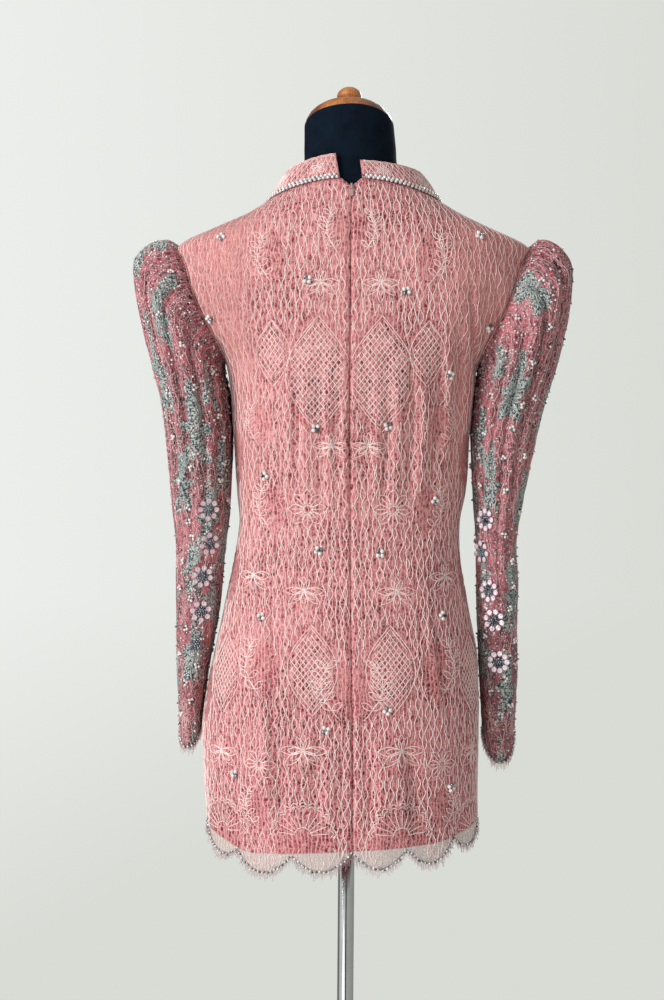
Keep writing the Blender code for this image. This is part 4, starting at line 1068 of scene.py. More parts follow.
def body_rows(hem, thin=1):
    """Levels of a panel's rows: even steps up the skirt, steps that follow a cosine up the armhole, and
    even steps over the shoulder; with the hem, more below the lining's row."""
    turn = np.linspace(0, math.pi, ARMHOLE_ROWS // thin + 1)
    parts = [np.linspace(LINING_HEM, UNDERARM, SKIRT_ROWS // thin + 1)[:-1],
             UNDERARM + (SHOULDER - UNDERARM) * (1 - np.cos(turn)) / 2,
             np.linspace(SHOULDER, NECKLINE, SHOULDER_ROWS // thin + 1)[1:]]
    if hem:
        parts.insert(0, np.linspace(LINING_HEM - 20, LINING_HEM, HEM_ROWS + 1)[:-1])
    return np.concatenate(parts)


def body_panel(panel, lift, hem=True, thin=1):
    """A whole panel as half_panel gives it, its columns running the way the angle grows."""
    shares = BACK_SHARES[::thin]
    shares = shares if shares[-1] == 1 else np.append(shares, 1.0)
    rest = lift, body_rows(hem, thin), hem
    if panel == "front":
        halves = half_panel(1, "front", shares[::-1], *rest), half_panel(-1, "front", shares[1:], *rest)
        return tuple(np.concatenate(pair, axis=1) for pair in zip(*halves))
    if panel == "back_right":
        return half_panel(1, "back", shares, *rest)
    return half_panel(-1, "back", shares[::-1], *rest)


CLEAR_OF_MIDDLE, CLEAR_OF_SIDE, CLEAR_OF_NECK, CLEAR_OF_HEM = 1.6, 1.2, 2.0, 1.5


def lace_cords(halves):
    """The corded lines of a panel: flat strands laid on each half of it and cut at its edges."""
    parts, used = [], 0
    for sign, panel in halves:
        flat, ids = LACE_STRANDS
        run, level = flat.T
        middle, side = edge_turns(sign, panel, np.clip(level, LEVELS[0], NECKLINE))
        start, end = run_at(sign, middle, level), run_at(sign, side, level)
        turn, reach = turn_at(sign, start + np.sign(end - start) * run, level), np.abs(end - start)
        inside = (run > CLEAR_OF_MIDDLE) & (run < reach - CLEAR_OF_SIDE)
        inside &= level < NECKLINE - notch(run, level) - CLEAR_OF_NECK
        inside &= level > scallop(np.clip(run / reach, 0, 1), sign * turn) + CLEAR_OF_HEM
        laid, ids = cut(np.concatenate(cloth(sign * turn, level), axis=1), ids, inside)
        parts.append((laid, ids + used))
        used += ids[-1] + 1
    laid, ids = (np.concatenate(part) for part in zip(*parts))
    sizes = sizes_in_mm()
    plain = ramp(np.abs(laid[:, 0]), *PLAIN_SIDE) * ramp(laid[:, 2], *PLAIN_LEVEL)
    return cord_mesh(laid[:, :3], laid[:, 3:], ids, sizes.cord_width * (1 - 0.5 * plain), sizes.cord_height)


PANELS = {
    # flat width, length and area of the cut, in metres; halves of the body it covers
    "back_left": ((0.235, 0.745), 0.1420, [(-1, "back")]),
    "back_right": ((0.235, 0.745), 0.1420, [(1, "back")]),
    "front": ((0.470, 0.720), 0.2700, [(1, "front"), (-1, "front")]),
}


class KEBAYA_OT_lace_panels(bpy.types.Operator):
    """Make the two lace backs and the lace front, each with its corded lines"""
    bl_idname = "kebaya.lace_panels"
    bl_label = "Lace panels"

    def execute(self, context):
        for panel, (flat, area, halves) in PANELS.items():
            points, uv, above = body_panel(panel, 0.0)
            piece = show(f"lace_panel_{panel}", sheet_mesh(points, uv, {"above_lining": above}),
                         "rose_lace_on_satin", replaced=[f"lace_{panel}"], wall=LACE_WALL)
            cords = show(f"lace_cords_{panel}", lace_cords(halves), "rose_cording")
        return {"FINISHED"}


class KEBAYA_OT_lining(bpy.types.Operator):
    """Make the satin lining of the backs and the front"""
    bl_idname = "kebaya.lining"
    bl_label = "Satin lining"

    def execute(self, context):
        for panel, (flat, area, _) in PANELS.items():
            points, uv, _ = body_panel(panel, -(LACE_WALL + LAYER_GAP), hem=False, thin=2)
            points[0, :, 2] -= LINING_DROP
            piece = show(f"satin_{panel}", sheet_mesh(points, uv), "rose_satin_lining",
                         replaced=[f"lining_{panel}"], wall=LINING_WALL)
        return {"FINISHED"}


# ======================== sleeves
SLEEVE_TURNS, SLEEVE_END = 136, 15.0
SLEEVE_PLACES = np.concatenate([np.linspace(0, 1, 9)[:-1], np.linspace(1, 9, 72)[:-1],
                                np.linspace(9, SLEEVE_END, 54)])
GATHER_DEPTH = ((0, 0.5, 1.5, 2.5, 4, 5.5, 7, 9), (0.2, 1.8, 2.8, 3.0, 2.3, 1.5, 0.7, 0))
FOLD_DEPTH = ((0, 1, 3, 5, 7, 9, 11, 13, 15), (0, 0.8, 3.6, 5.6, 5.8, 4.2, 2.0, 1.0, 0.2))
GATHERS, LONG_FOLDS = 13.0, 7.5
MEAN_RIDGE = 0.64       # mean size of a cosine, which the ridges rise and sink from
BULGES = (
    # rise, turn, width round, place, width along, inner power, outer power
    (3.6, math.pi, 0.5, 6.5, 4.0, 1, 0.5),
    (4.2, math.pi, 0.6, 2.4, 1.8, 2, 1),
    (9.5, 3.64, 0.35, 4.2, 4.8, 2, 1),
)


def sleeve_lift(side, turn, place):
    """How far the sleeve's cloth stands out: rounded ridges with sharp valleys between them, as the
    size of a cosine gives, closer together at the gathered head and wider down the arm; and bulges of
    the inner side, which lies close to the body under the arm."""
    odd = 0.0 if side == "left" else 1.7
    upper = ((1 + np.cos(turn)) / 2) ** 0.4
    gather = np.abs(np.cos(GATHERS * turn + 0.9 * np.sin(3 * turn + 1 + odd) + 0.7 * np.sin(7 * turn)))
    folds = np.abs(np.cos(LONG_FOLDS * turn + 0.55 * np.sin(2 * turn + odd) + 0.07 * place + odd))
    elbow = np.sin(3.1 * place + 2 * turn + odd) * np.clip(1 - np.abs(place - 11.5) / 2.5, 0, 1)
    bulges = sum(rise * bell(turn - middle, wide)
                 * np.clip(1 - np.abs((place - centre) / long) ** inner, 0, 1) ** outer
                 for rise, middle, wide, centre, long, inner, outer in BULGES)
    return (bulges + (gather - MEAN_RIDGE) * 1.5 * np.interp(place, *GATHER_DEPTH) * upper
            + (folds - MEAN_RIDGE) * 1.5 * np.interp(place, *FOLD_DEPTH) + 0.7 * elbow)


def sleeve_surface(side, turn, place, lift=0.0):
    """A point of a sleeve: at places from 1 to 15 an oval whose long axis runs between its table's outer
    and inner edges, swollen by the folds; from 0 to 1 it closes onto the armhole's edge."""
    turn, place = arrays(turn, place)
    sign, table = SIGNS[side], SLEEVES[side]
    rows = smooth_rows(table, np.arange(len(table), dtype=float), np.maximum(place, 1.0))
    outer_x, outer_z, inner_x, inner_z, half_depth, middle_y = np.moveaxis(rows, -1, 0)
    swell = 1 + (sleeve_lift(side, turn, place) + lift) / half_depth
    along = signed_power(np.cos(turn), 2 / SLEEVE_SQUARE) * swell / 2
    x = (outer_x + inner_x) / 2 + (outer_x - inner_x) * along
    z = (outer_z + inner_z) / 2 + (outer_z - inner_z) * along
    y = middle_y - half_depth * signed_power(np.sin(turn), 2 / SLEEVE_SQUARE) * swell
    z = z - CUFF_POINT[side] * np.abs(np.sin(turn)) * ramp(place, 14, SLEEVE_END)
    level = UNDERARM + (SHOULDER - UNDERARM) * (1 + np.cos(turn)) / 2
    reach = np.where(np.sin(turn) >= 0, -ARMHOLE_BACK, ARMHOLE_FRONT) * np.abs(np.sin(turn))
    armhole, _ = cloth(np.radians(90 + reach) * sign, level, SEAM_GAP)
    near = np.clip(place, 0, 1)[..., None]
    return armhole * (1 - near) + np.stack([sign * x, y, z], axis=-1) * near


def sleeve_frame(side, turn, place):
    """Points of a sleeve and outward normals from small steps round it and along it."""
    def within(turn, place):
        """The sleeve's surface, whose ends it doesn't leave."""
        return sleeve_surface(side, turn, np.clip(place, 0, SLEEVE_END))
    return sleeve_surface(side, turn, place), SIGNS[side] * normals_of(within, turn, place, 0.01, 0.03)


def sleeve_measures(side):
    """Closely spaced places down a sleeve, the distance down to each and the sleeve's radius there."""
    places = np.linspace(0, SLEEVE_END, 301)
    grid = sleeve_surface(side, np.linspace(0, ROUND, 65)[None, :], places[:, None])
    girth = np.linalg.norm(np.diff(grid, axis=1), axis=-1).sum(axis=1)
    return places, run_along(grid.mean(axis=1)), girth / ROUND


SLEEVE_MEASURES = {side: sleeve_measures(side) for side in SIGNS}
SLEEVE_MOTIFS = {
    # turn, distance down, kind, size and whether it is sewn in grey silk: motifs spread evenly round
    # and down the sleeve by the golden angle
    side: [(math.radians(start + 137.5 * k), 16 + 12.2 * k,
            ("flower", "spray", "palmette", "flower", "spray")[k % 5], 23 + 3 * (k % 3),
            k % 4 != 1 and (k < 28 or k % 2 == 0)) for k in range(45)]
    for side, start in (("left", 20.0), ("right", 77.0))
}
SLEEVE_WAVES = 34


def round_by(turns, turn):
    """How far turns are from a turn, by the shorter way round."""
    return (turns - turn + math.pi) % ROUND - math.pi


def sleeve_cords(side, grey):
    """Corded lines of a sleeve: motifs, or in rose also upright waves that part round the motifs."""
    places, down, radius = SLEEVE_MEASURES[side]
    strands = []
    for turn, far, kind, size, is_grey in SLEEVE_MOTIFS[side]:
        if is_grey == grey:
            scale = np.interp(far, down, radius)
            strands += [line_of(turn + strand[:, 0] / scale, far - strand[:, 1])
                        for strand in MOTIF_KINDS[kind][0](size)]

    def clear_of(turns, fars):
        """True outside the oval round every motif."""
        keep = np.ones(len(turns), bool)
        for turn, far, _, size, _ in SLEEVE_MOTIFS[side]:
            away = round_by(turns, turn) * np.interp(far, down, radius)
            keep &= np.hypot(away / 0.8, (fars - far) / 0.9) > size
        return keep

    if grey:
        points, ids = joined(strands)
    else:
        v = np.arange(3.0, down[-1], 3.6)
        swing = 2.3 * np.sin(ROUND * v / 31) / np.interp(v, down, radius)
        waves = [line_of(ROUND * (k + 0.5) / SLEEVE_WAVES + (-1) ** k * swing, v)
                 for k in range(SLEEVE_WAVES)]
        points, ids = with_waves(strands, waves, clear_of)
    points, ids = cut(points, ids, (points[:, 1] > 2) & (points[:, 1] < down[-1] - 1))
    centres, normals = sleeve_frame(side, points[:, 0], np.interp(points[:, 1], down, places))
    sizes = sizes_in_mm()
    return cord_mesh(centres, normals, ids, sizes.cord_width * (1.25 if grey else 0.95), sizes.cord_height)


def embroidery_mask(side, turns, places):
    """How deep in a grey silk motif a point lies, 0 outside: five-lobed discs with soft edges, slightly
    smaller down the arm."""
    knots, down, radius = SLEEVE_MEASURES[side]
    far, scale = np.interp(places, knots, down), np.interp(places, knots, radius)
    mask = np.zeros(turns.shape)
    for turn, centre, kind, size, grey in SLEEVE_MOTIFS[side]:
        if grey:
            p = round_by(turns, turn) * scale
            q = centre - far + (size * 0.4 if kind == "spray" else 0)
            reach = size * (0.84 + 0.3 * np.cos(5 * np.arctan2(p, q)))
            disc = np.clip(1.25 - np.hypot(p * 1.15, q * 0.5) / reach, 0, 0.58)
            mask = np.maximum(mask, disc - 0.04 * ramp(places, 10, 12))
    return mask


def close_seam(mesh):
    """Merge the doubled points where a wrapped grid meets itself; its uv keeps its seam."""
    cage = bmesh.new()
    cage.from_mesh(mesh)
    bmesh.ops.remove_doubles(cage, verts=cage.verts, dist=1e-6)
    cage.to_mesh(mesh)
    cage.free()
    mesh.shade_smooth()
    return mesh


SLEEVE_FLAT = {"left": ((0.40, 0.60), 0.178), "right": ((0.40, 0.61), 0.178)}
SLEEVE_WALL = 1.2


class KEBAYA_OT_sleeves(bpy.types.Operator):
    """Make both sleeves with their gathers, folds, corded lines and grey silk embroidery"""
    bl_idname = "kebaya.sleeves"
    bl_label = "Sleeves"

    def execute(self, context):
        for side, (flat, area) in SLEEVE_FLAT.items():
            turns = np.linspace(0, ROUND, SLEEVE_TURNS + 1)
            turn, place = np.meshgrid(turns if side == "left" else turns[::-1], SLEEVE_PLACES[::-1])
            knots, down, radius = SLEEVE_MEASURES[side]
            uv = np.stack([turn * radius.mean(), -np.interp(place, knots, down)], -1) * MM
            mesh = sheet_mesh(sleeve_surface(side, turn, place), uv,
                              {"embroidery": embroidery_mask(side, turn, place)})
            sleeve = show(f"lace_sleeve_{side}", close_seam(mesh), "embroidered_rose_lace",
                          replaced=[f"sleeve_{side}"], wall=SLEEVE_WALL)
            trims = [show(f"sleeve_{kind}_{side}", sleeve_cords(side, grey), finish)
                     for kind, grey, finish in (("cords", False, "deep_rose_cording"),
                                                ("silk", True, "grey_silk_cording"))]
        return {"FINISHED"}


# ======================== collar
COLLAR_TURNS = np.linspace(0, ROUND, 400)
COLLAR_RUN = run_along(body_surface(COLLAR_TURNS, NECKLINE))
COLLAR_SPAN = float(COLLAR_RUN[-1] - COLLAR_END["left"] - COLLAR_END["right"])
COLLAR_TALL, COLLAR_UV_TALL, COLLAR_FOOT = 40.0, 42.0, 0.008
COLLAR_BOW, COLLAR_RIPPLE = 1.6, 0.5
COLLAR_WAVES, TRIM_SPACING, TRIM_ROWS = 4.0, 5.0, (0.035, 0.125)


def collar_cone(around, up):
    """The collar without its bow: at each share of the way round, a straight rise from just above the
    neckline to the rim."""
    around, up = arrays(np.clip(around, 0, 1), up)
    angle = np.interp(COLLAR_END["right"] + around * COLLAR_SPAN, COLLAR_RUN, COLLAR_TURNS)
    splay = COLLAR_SPLAY / COLLAR_RIM_SHAPE["back"] * ramp(around, 0.93, 1)
    base = body_surface(angle, NECKLINE)
    left, right = (
        section_ring(np.broadcast_to([COLLAR_RIM_SIDE, *COLLAR_RIM_SHAPE.values(), COLLAR_SQUARE,
                                      back - COLLAR_RIM_SIDE, COLLAR_RIM_FRONT - COLLAR_RIM_SIDE],
                                     (*angle.shape, 8)), angle - splay)
        for back in COLLAR_RIM_BACK.values())
    rim = np.where(np.sin(angle)[..., None] > 0, right, left)
    start = base + (rim - base) * COLLAR_FOOT
    return start + (rim - start) * up[..., None]


def collar_surface(around, up):
    """The stand collar, with a slight outward bow of half a sine and a ripple, and its normals."""
    normals = normals_of(collar_cone, around, up, 0.004, 0.02)
    bow = (COLLAR_BOW * np.sin(math.pi * np.clip(up, 0, 1))
           + COLLAR_RIPPLE * np.sin(38 * around) * np.sin(math.pi * up))
    return collar_cone(around, up) + normals * bow[..., None], normals


def collar_cords():
    """The collar's corded lines: upright waves, two bands of them along its rim, and small flowers."""
    v = np.arange(2.0, COLLAR_TALL - 3, 2.6)
    along = np.arange(1.0, COLLAR_SPAN - 1, 3.0)
    strands = [line_of((k + 0.5) * COLLAR_WAVES + (-1) ** k * 1.5 * np.sin(ROUND * v / 17 + k / 5), v)
               for k in range(int(COLLAR_SPAN / COLLAR_WAVES))]
    strands += [line_of(along, COLLAR_TALL - below + 0.6 * np.sin(along / 2.6)) for below in (3.2, 1.0)]
    strands += [strand + np.array([COLLAR_SPAN * (k + 0.5) / 9, COLLAR_TALL * 0.48])
                for k in range(9) for strand in flower(11, 6)]
    points, ids = joined(strands)
    points, ids = cut(points, ids, (points[:, 0] > 1) & (points[:, 0] < COLLAR_SPAN - 1))
    centres, normals = collar_surface(points[:, 0] / COLLAR_SPAN, points[:, 1] / COLLAR_TALL)
    sizes = sizes_in_mm()
    return cord_mesh(centres, normals, ids, sizes.cord_width * 0.85, sizes.cord_height)


class KEBAYA_OT_collar(bpy.types.Operator):
    """Make the stand collar, its corded lines and the pearls sewn round its foot"""
    bl_idname = "kebaya.collar"
    bl_label = "Stand collar"

    def execute(self, context):
        sizes = sizes_in_mm()
        around, up = np.meshgrid(np.linspace(0, 1, 181), np.linspace(0, 1, 17))
        points, _ = collar_surface(around, up)
        uv = np.stack([around * COLLAR_SPAN, up * COLLAR_UV_TALL], -1) * MM
        band = show("lace_collar", sheet_mesh(points, uv), "rose_lace_collar",
                    replaced=["collar"], wall=COLLAR_WALL)
        trims = [show("collar_cords", collar_cords(), "rose_cording")]
        for name, radius, shift, finish in (
                ("collar_pearls", sizes.trim_pearl, 0.5, "pearl_bead"),
                ("collar_seed_beads", sizes.seed_bead, 0.0, "silver_lined_bead")):
            row = (np.arange(1, int(COLLAR_SPAN / TRIM_SPACING)) + shift) * TRIM_SPACING / COLLAR_SPAN
            share = np.concatenate([row, row - TRIM_SPACING / 2 / COLLAR_SPAN])
            centres, normals = collar_surface(share, np.repeat(TRIM_ROWS, len(row)))
            mesh = scatter(ball(6, 4), centres + normals * radius * 0.75, np.full(len(share), radius))
            trims.append(show(name, mesh, finish))
        return {"FINISHED"}


# ======================== beads and sequins
def ball(segments=8, rings=5):
    """Unit sphere: circles of latitude closed by a point at each pole.  Points, quads, triangles."""
    polar = np.linspace(0, math.pi, rings + 1)
    return turned(np.stack([np.sin(polar), np.cos(polar)], -1), segments)


def cupped_sequin():
    """Unit sequin: a shallow cup with a thick rim, closed below; its middle sits lower than its edge."""
    return turned([(0, 0.07), (0.12, 0.10), (0.55, 0.16), (1.0, 0.42), (1.0, 0.26), (0.5, -0.02),
                   (0, -0.03)], 8)


def scatter(shape, centres, radii, frames=None):
    """One mesh of many copies of a small shape, each scaled to its radius and turned to its frame."""
    points, quads, caps = shape
    body = points if frames is None else np.einsum("nij,kj->nki", frames, points)
    placed = centres[:, None, :] + body * np.asarray(radii)[:, None, None]
    shift = (np.arange(len(centres)) * len(points))[:, None, None]
    return make_mesh(placed.reshape(-1, 3), [(quads[None] + shift).reshape(-1, 4),
                                             (caps[None] + shift).reshape(-1, 3)])


def frames_on(normals):
    """Frames whose third axis is each normal."""
    helper = np.where(np.abs(normals[:, 2:]) > 0.9, [[1.0, 0, 0]], [[0, 0, 1.0]])
    first = unit(np.cross(helper, normals))
    return np.stack([first, np.cross(normals, first), normals], axis=-1)


def seats(points, normals, places, facing, reach):
    """Where beads sit on the surface at x and z places seen along y, among the parts that face that way:
    the mean normal within reach, and a point along it that clears the folds there."""
    fits = normals[:, 1] * facing > 0.15
    points, normals = points[fits], normals[fits]
    found = []
    for place in np.asarray(places, float):
        gap = np.linalg.norm(points[:, ::2] - place, axis=1)
        here, near = points[gap.argmin()], gap <= max(reach, gap.min())
        out = unit(normals[near].mean(axis=0))
        found.append((here + out * np.percentile((points[near] - here) @ out, 80), out))
    return (np.array(part) for part in zip(*found))


def rosette(centre, normal, radius, count, turn):
    """count places round a centre, on a circle of that radius in the plane across its normal."""
    angle = turn + np.arange(count) * ROUND / count
    ring = np.stack([np.cos(angle), np.sin(angle), np.zeros(count)], -1) * radius
    return centre + ring @ frames_on(normal[None])[0].T, np.tile(normal, (count, 1))


def cloud(surface, u, v):
    """Points and normals of a surface at every pair of its parameters' values."""
    return (part.reshape(-1, 3) for part in surface(*np.meshgrid(u, v)))


SLEEVE_FLOWERS = {
    # x, z of each flower seen from behind, and its petals
    "left": [(-154, 1091, 8), (-152.5, 1053, 7), (-160, 1017, 8), (-162, 978, 7), (-167, 942, 0)],
    "right": [(149, 1081, 8), (148, 1046, 7), (155, 1004, 8), (160, 972, 8), (165, 926, 9)],
}
SLEEVE_PEARLS = {
    "left": [(-194, 1346), (-198, 1218), (-169, 1222), (-147, 1191), (-189, 1171), (-139, 1167),
             (-171, 1136), (-138, 1142), (-136, 1099), (-174, 1092), (-175, 1077), (-205, 1300),
             (-180, 1268), (-150, 1240), (-184, 1120), (-143, 1122), (-170, 1060), (-180, 1034),
             (-150, 1028), (-184, 1004), (-172, 992), (-178, 960), (-184, 930), (-166, 918),
             (-178, 900), (-172, 880), (-182, 866)],
    "right": [(206, 1340), (180, 1300), (214, 1290), (166, 1262), (196, 1252), (154, 1216), (186, 1206),
              (148, 1176), (176, 1180), (200, 1214), (142, 1150), (168, 1148), (190, 1150), (146, 1118),
              (170, 1112), (186, 1090), (168, 1064), (178, 1036), (150, 1024), (180, 1006), (152, 986),
              (176, 984), (152, 952), (182, 948), (172, 908), (158, 890), (178, 878), (168, 866)],
}
SLEEVE_BEADS = 430
FRONT_FLOWERS_UP, FRONT_FLOWERS_APART, FRONT_PEARLS_DOWN = 11.0, 1.02, 9.0
HEART_RINGS = ((0, 1), (2.2, 6), (4.3, 11))     # radius in beads, and beads in the ring
SEQUINS_OUT = 3.05                              # radius of the sequins' ring, in sequins
CLUSTER_OUT, CLUSTER_UP = 1.42, 0.7             # a cluster's radius and height, in pearls
CLUSTER_SILVER, CLUSTER_HEART = 0.9, 0.5        # its silver bead and its middle one, in pearls
SMALL_CLUSTER = 0.72                            # the sleeves' clusters against the body's


class KEBAYA_OT_pearls(bpy.types.Operator):
    """Sew pearl clusters over the body, and pearls, seed beads and sequin flowers over the sleeves"""
    bl_idname = "kebaya.pearls"
    bl_label = "Pearls and sequins"

    def execute(self, context):
        sizes = sizes_in_mm()
        pearls, white, silver, sequins, hearts = [], [], [], [], []

        def clusters(seated, size, turn, first=0.0):
            """Three pearls and a silver bead round each centre, with a small silver bead on it."""
            for k, (centre, out) in enumerate(zip(*seated)):
                places, ways = rosette(centre, out, size * CLUSTER_OUT, 4, turn * k + first)
                places += ways * size * CLUSTER_UP
                pearls.append((places[:3], np.full(3, size)))
                silver.append((places[3:], np.full(1, size * CLUSTER_SILVER)))
                silver.append(([centre + out * size * CLUSTER_HEART], np.full(1, size * CLUSTER_HEART)))

        body = [*cloud(cloth, np.linspace(0, ROUND, 420), np.linspace(760, 1425, 260))]
        clusters(seats(*body, BACK_PEARLS, -1, 4), sizes.pearl_radius, 1.9)
        clusters(seats(*body, FRONT_PEARLS, 1, 4), sizes.pearl_radius, 1.9, 1.0)

        random = np.random.default_rng(SEED)
        for side in ("left", "right"):
            points, normals = cloud(lambda turn, place: sleeve_frame(side, turn, place),
                                    np.linspace(0, ROUND, 240), np.linspace(0.8, 14.9, 420))
            for facing, apart, up, down in ((-1, 1.0, 0, 0),
                                            (1, FRONT_FLOWERS_APART, FRONT_FLOWERS_UP, FRONT_PEARLS_DOWN)):
                flowers = [(x * apart, z + up) for x, z, _ in SLEEVE_FLOWERS[side]]
                seated = zip(*seats(points, normals, flowers, facing, 11), SLEEVE_FLOWERS[side])
                for k, (centre, out, (_, _, petals)) in enumerate(seated):
                    if petals:
                        radius = sizes.sequin_radius
                        places, ways = rosette(centre, out, radius * SEQUINS_OUT, petals, 0.7 * k)
                        sequins.append((places + ways * 0.7, np.full(petals, radius), ways))
                    for ring, count in HEART_RINGS:
                        places, ways = rosette(centre, out, sizes.seed_bead * ring, count, 0.3 * k)
                        hearts.append((places + ways * 1.3, np.full(count, sizes.seed_bead * 1.08)))
                spots = [(x, z - down) for x, z in SLEEVE_PEARLS[side]]
                clusters(seats(points, normals, spots, facing, 3), sizes.pearl_radius * SMALL_CLUSTER, 2.3)
            for found, count in ((white, SLEEVE_BEADS), (silver, SLEEVE_BEADS // 2)):
                pick = random.choice(len(points), count, replace=False)
                found.append((points[pick] + normals[pick] * sizes.seed_bead * 0.8,
                              sizes.seed_bead * random.uniform(0.8, 1.15, count)))
        for name, parts, finish, shape in (
                ("sewn_pearls", pearls, "pearl_bead", ball()),
                ("sewn_seed_beads", white, "pearl_bead", ball(6, 3)),
                ("sewn_silver_beads", silver + hearts, "silver_lined_bead", ball(6, 4))):
            show(name, scatter(shape, *map(np.concatenate, zip(*parts))), finish)
        centres, radii, ways = map(np.concatenate, zip(*sequins))
        show("sequin_flowers", scatter(cupped_sequin(), centres, radii, frames_on(ways)), "lilac_sequin")
        return {"FINISHED"}


# ======================== edges
EDGE_STEP, EDGE_BEADS_APART = 1.0, 5


def spaced(line):
    """Points a step apart along a closed line, with their outward directions."""
    closed = np.concatenate([line, line[:1]])
    run = run_along(closed)
    at = np.linspace(0, run[-1], int(run[-1] / EDGE_STEP), endpoint=False)
    points = np.stack([np.interp(at, run, closed[:, k]) for k in range(3)], -1)
    return points, unit((points - points.mean(axis=0)) * (1, 1, 0))


def hem_line():
    """The scalloped edge all round, in the middle of the lace's wall."""
    return np.concatenate([body_panel(panel, -LACE_WALL / 2)[0][0]
                           for panel in ("back_right", "front", "back_left")])


def cuff_line(side):
    """A cuff's edge all round, in the middle of the sleeve's wall."""
    return sleeve_surface(side, np.linspace(0, ROUND, 260), SLEEVE_END, -SLEEVE_WALL / 2)


def edging(label, replaced, line, random):
    """A corded edge under a line, seed beads and pearls along it, and fine threads hanging from it."""
    sizes = sizes_in_mm()
    points, outward = spaced(line)
    count, down = len(points), np.array([0, 0, -1.0])
    centres = points + down * (0.5 + 0.35 * np.sin(np.arange(count) * 0.9)[:, None])
    loop, width, half = np.append(np.arange(count), 0), sizes.edge_cord, sizes.edge_cord * 0.45
    cord = cord_mesh(centres[loop], outward[loop], np.zeros(count + 1, int), width, half, half)
    show(f"{label}_cord", cord, "grey_silk_cording", replaced=replaced)
    for name, start, radius, finish in (("seed_beads", 0, sizes.seed_bead, "silver_lined_bead"),
                                        ("pearls", 3, sizes.seed_bead * 1.05, "pearl_bead")):
        index = np.arange(start, count, EDGE_BEADS_APART)
        spread = random.uniform(-2.0, 1.2, (len(index), 1))
        seated = centres[index] + outward[index] * radius * 0.9 + down * (0.6 + spread)
        mesh = scatter(ball(6, 4), seated, radius * random.uniform(0.7, 1.15, len(index)))
        show(f"{label}_{name}", mesh, finish)
    t = np.linspace(0, 1, 3)[None, :, None]
    reach = sizes.lash_length * random.uniform(0.45, 1.1, (count, 1, 1))
    lean = (outward[:, None] * random.uniform(0.0, 0.55, (count, 1, 1))
            + np.roll(outward, 1, axis=1)[:, None] * random.uniform(-0.45, 0.45, (count, 1, 1)))
    lashes = centres[:, None] + reach * (t * down + lean * t**2 * 0.8)
    mesh = cord_mesh(lashes.reshape(-1, 3), np.repeat(outward, 3, axis=0), np.repeat(np.arange(count), 3),
                     sizes.lash_width, sizes.lash_width * 0.5, sizes.lash_width * 0.4)
    show(f"{label}_lashes", mesh, "deep_rose_cording")


class KEBAYA_OT_edging(bpy.types.Operator):
    """Make the beaded and fringed edging of the hem and the cuffs, and the piped armhole seams"""
    bl_idname = "kebaya.edging"
    bl_label = "Beaded edging"

    def execute(self, context):
        random = np.random.default_rng(SEED + 1)
        edging("hem_edge", ["lash_edge_hem"], hem_line(), random)
        for side in ("left", "right"):
            edging(f"cuff_edge_{side}", [f"lash_edge_cuff_{side}"], cuff_line(side), random)
            turn = np.linspace(0, ROUND, 150)
            seam, normals = sleeve_frame(side, turn, np.full_like(turn, 0.02))
            mesh = cord_mesh(seam, normals, np.zeros(len(turn), int), width=1.6, height=0.5, sink=0.5)
            show(f"armhole_seam_{side}", mesh, "rose_cording")
        return {"FINISHED"}


# ======================== zip
ZIP_FOOT, TAPE_STEP, COIL_STEP = 985.0, 3.0, 0.55
TAPE_HALF_TURN, TAPE_BEHIND, TAPE_WALL = 0.045, 1.45, 0.4
COIL_HALF_TURN, COIL_BEHIND = 0.006, 1.35


class KEBAYA_OT_zip(bpy.types.Operator):
    """Make the concealed zip's tape and coil behind the seam, and finish its slider and pull tab"""
    bl_idname = "kebaya.zip"
    bl_label = "Concealed zip"

    def execute(self, context):
        head = NECKLINE - NOTCH_DEPTH
        level = np.arange(ZIP_FOOT, head - 4, TAPE_STEP)[:, None]
        points, _ = cloth(seam_angle(level) + np.linspace(-1, 1, 7) * TAPE_HALF_TURN, level, -TAPE_BEHIND)
        tape = show("zip_tape", sheet_mesh(points, points[..., ::2] * MM), "rose_satin_lining",
                    wall=TAPE_WALL)
        run = np.arange(ZIP_FOOT, head - 6, COIL_STEP)
        swing = COIL_HALF_TURN * np.sin(np.arange(len(run)) * math.pi / 2)
        wire = cloth(seam_angle(run) + swing, run, -COIL_BEHIND)
        coil = cord_mesh(*wire, np.zeros(len(run), int), width=0.5, height=0.45, sink=0.2)
        show("zip_coil", coil, "rose_zip_enamel")
        for node in ("zip_slider", "zip_pull"):
            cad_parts[node].material_slots[0].material = kebaya_material("rose_zip_enamel")
        return {"FINISHED"}


# ======================== form and stand
def rounded(corners, radius, steps=4):
    """A profile whose inner corners are rounded by quadratic curves of that reach."""
    made = [corners[0]]
    for before, corner, after in zip(*(np.array(corners[k:], float) for k in range(3))):
        back, on = before - corner, after - corner
        reach = min(radius, np.linalg.norm(back) * 0.45, np.linalg.norm(on) * 0.45)
        start, end = corner + unit(back) * reach, corner + unit(on) * reach
        t = np.linspace(0, 1, steps + 1)[:, None]
        made += [tuple(p) for p in (1 - t) ** 2 * start + 2 * t * (1 - t) * corner + t**2 * end]
    return made + [corners[-1]]


FORM_COLUMNS = 108
FORM_LIP = ((0.7, 1.8), (0.95, 1.8), (0.985, 1.2))      # share of the neck's top ring, rise above it
FORM_FOOT = ((0.97, -4.2), (0.90, -6.0))                # share of the lowest ring, rise above it


